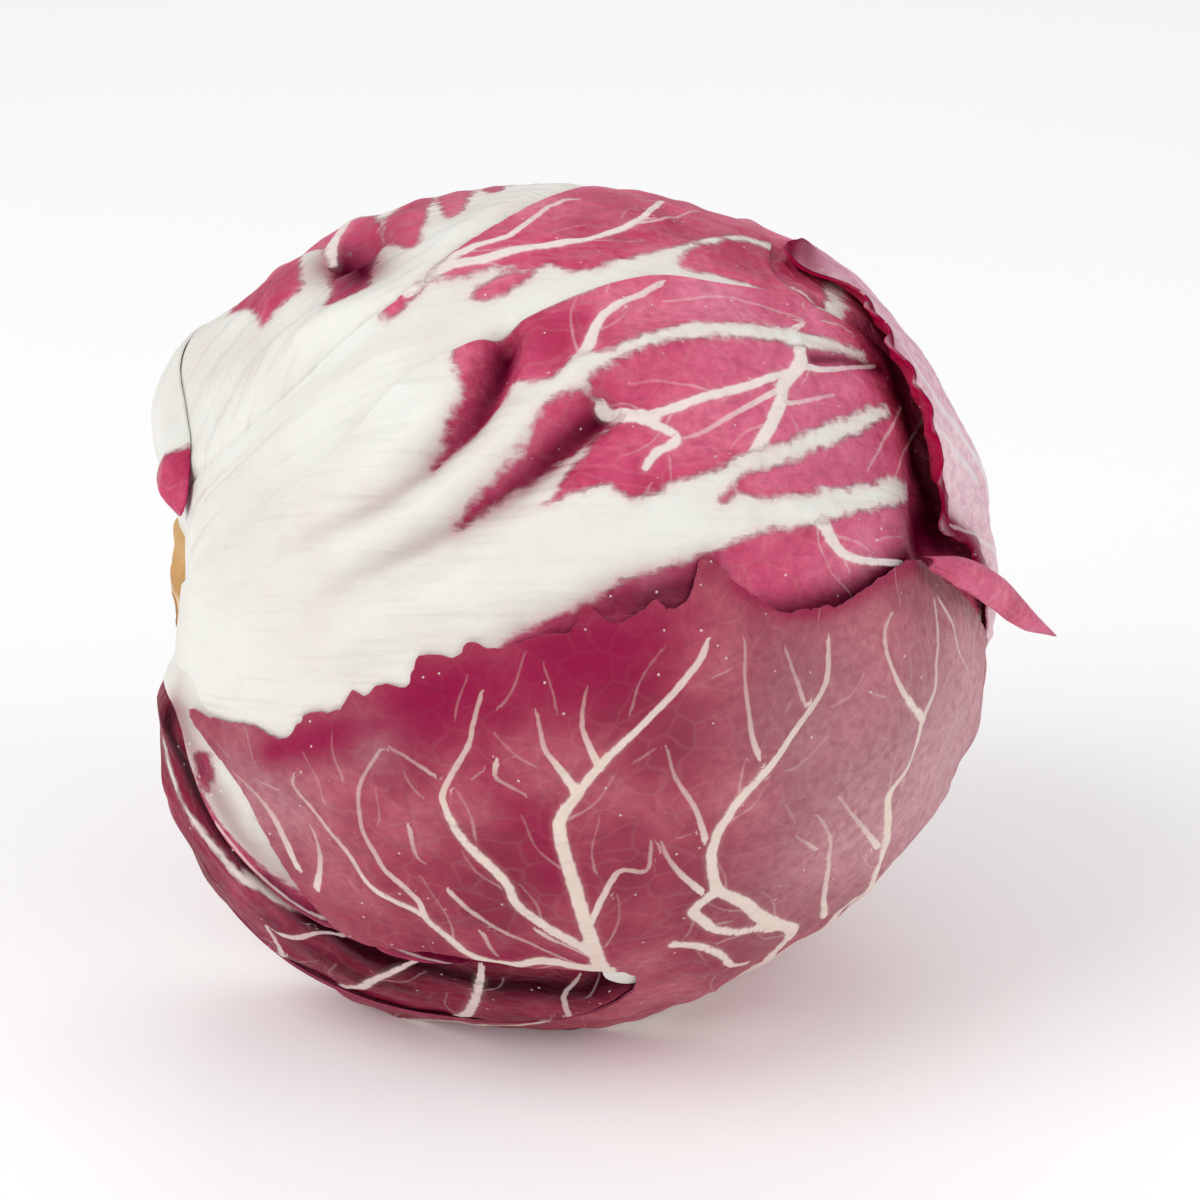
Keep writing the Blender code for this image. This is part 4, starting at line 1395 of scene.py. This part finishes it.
def stemMaterial():
    # an old cut: dry and tan above, a pale ring, then darker brown towards the bottom
    material, tree = newMaterial("cutStem")
    place = addNode(tree, "TexCoord", output="Object")
    cloud = addNode(tree, "TexNoise", {"Vector": place, "Scale": 320.0, "Detail": 6.0})
    height = addNode(tree, "SeparateXYZ", {0: place}, output=2)
    level = addNode(tree, "Math", {0: cloud, 1: 0.004, 2: height}, operation="MULTIPLY_ADD")
    low, high = (middle[2] / 1000 + end for end in stemButt["bands"])
    level = addNode(tree, "MapRange", {"Value": level, "From Min": low, "From Max": high})
    bands = addNode(tree, "ValToRGB", {0: level})
    fillRamp(bands, stemButt["shades"])
    height = addNode(tree, "Math", {0: cloud, 1: 0.0004}, operation="MULTIPLY")
    bump = addNode(tree, "Bump", {"Height": height, "Distance": 1.0})
    shader = addNode(tree, "BsdfPrincipled", {"Base Color": bands, "Roughness": 0.75, "Normal": bump})
    addNode(tree, "OutputMaterial", {"Surface": shader})
    return material


stemButt = {
    "name": "stemButt",
    "middle": (-41.4, 0, 4.0),
    "radii": (9.8, 12.5, 13.2),
    "flatness": 0.55,      # 1 would be a plain rounded end
    "roughness": 0.8,
    "roughSize": 2.4,
    "bands": (-0.006, 0.018),  # metres over the head's middle between which the cut changes shade
    "shades": [
        (0.0, "5E3818"), (0.28, "8E5A28"), (0.37, "B07838"), (0.44, "E6D2B0"), (0.5, "C08E54"),
        (0.7, "D2A66C"), (1.0, "C89C68"),
    ],
}


def buildStem(stem):
    sheet = bmesh.new()
    bmesh.ops.create_uvsphere(sheet, u_segments=96, v_segments=64, radius=1)
    for vert in sheet.verts:
        flat = math.copysign(abs(vert.co.x) ** stem["flatness"], vert.co.x)
        wave = noise.noise(vert.co * stem["radii"][1] / stem["roughSize"])
        rough = 1 + stem["roughness"] * wave / stem["radii"][0]
        place = Vector((flat, vert.co.y, vert.co.z)) * rough
        vert.co = Vector(np.array(place) * stem["radii"] + stem["middle"] + middle) / 1000
    piece = addPiece(stem["name"], smoothMesh(stem["name"], sheet), stemMaterial())
    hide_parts("stem_core")


buildStem(stemButt)
heart = heartMaterial()
for name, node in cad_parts.items():
    if name.startswith("inner_leaf") or name == "heart_bud":
        node.data.materials.clear()
        node.data.materials.append(heart)
print("finished the heart and the stem")


studio = {
    "cameraElevation": 20,
    "cameraDistance": 589.5,
    "cameraAimShift": 4.585,
    "lens": 135,
    "floorHalf": 3.0,
    "worldStrength": 0.5,
    # name, place around the head in mm, size in mm, power in watts
    "lights": [
        ("keyLight", (-780, -520, 800), 900, 7.1),
        ("fillLight", (850, -600, 600), 1000, 4.2),
        ("rimLight", (100, 900, 900), 800, 2),
    ],
}


def aimAt(thing, target):
    thing.rotation_euler = (target - thing.location).to_track_quat("-Z", "Y").to_euler()


def buildStudio():
    aim = Vector(middle + (studio["cameraAimShift"], 0, 0)) / 1000
    tilt = math.radians(studio["cameraElevation"])
    camera = addObject("camera", bpy.data.cameras.new("camera"))
    camera.data.lens = studio["lens"]
    camera.data.sensor_width = 36
    camera.data.clip_end = 20
    camera.location = aim + Vector((0, -math.cos(tilt), math.sin(tilt))) * studio["cameraDistance"] / 1000
    aimAt(camera, aim)
    bpy.context.scene.camera = camera
    for name, place, size, power in studio["lights"]:
        light = addObject(name, bpy.data.lights.new(name, "AREA"))
        light.data.size = size / 1000
        light.data.energy = power
        light.location = (Vector(middle) + Vector(place)) / 1000
        aimAt(light, aim)
    world = bpy.data.worlds.new("studio")
    world.use_nodes = True
    seen = addNode(world.node_tree, "LightPath", output="Is Camera Ray")
    # soft white light from all round, and a plain white backdrop
    strengths = {"Value": seen, "To Min": studio["worldStrength"], "To Max": 1.0}
    glow = addNode(world.node_tree, "MapRange", strengths)
    backdrop = world.node_tree.nodes["Background"]
    backdrop.inputs["Color"].default_value = (1, 1, 1, 1)
    world.node_tree.links.new(glow, backdrop.inputs["Strength"])
    bpy.context.scene.world = world
    bpy.context.scene.view_settings.view_transform = "Standard"


def buildFloor():
    floorMesh = bpy.data.meshes.new("floor")
    sheet = bmesh.new()
    bmesh.ops.create_grid(sheet, x_segments=1, y_segments=1, size=studio["floorHalf"])
    sheet.to_mesh(floorMesh)
    sheet.free()
    floor = addObject("floor", floorMesh)
    material, tree = newMaterial("paleFloor")
    place = addNode(tree, "TexCoord", output="Object")
    cloud = addNode(tree, "TexNoise", {"Vector": place, "Scale": 3.0})
    coats = {0: cloud, 6: colour("FCFCFC"), 7: colour("FFFFFF")}
    base = addNode(tree, "Mix", coats, output=2, data_type="RGBA")
    surface = {
        "Base Color": base,
        "Roughness": 0.9,
        "Emission Color": (1, 1, 1, 1),
        "Emission Strength": 0.1,
    }
    shader = addNode(tree, "BsdfPrincipled", surface)
    addNode(tree, "OutputMaterial", {"Surface": shader})
    floorMesh.materials.append(material)


buildStudio()
buildFloor()
print("set the studio")
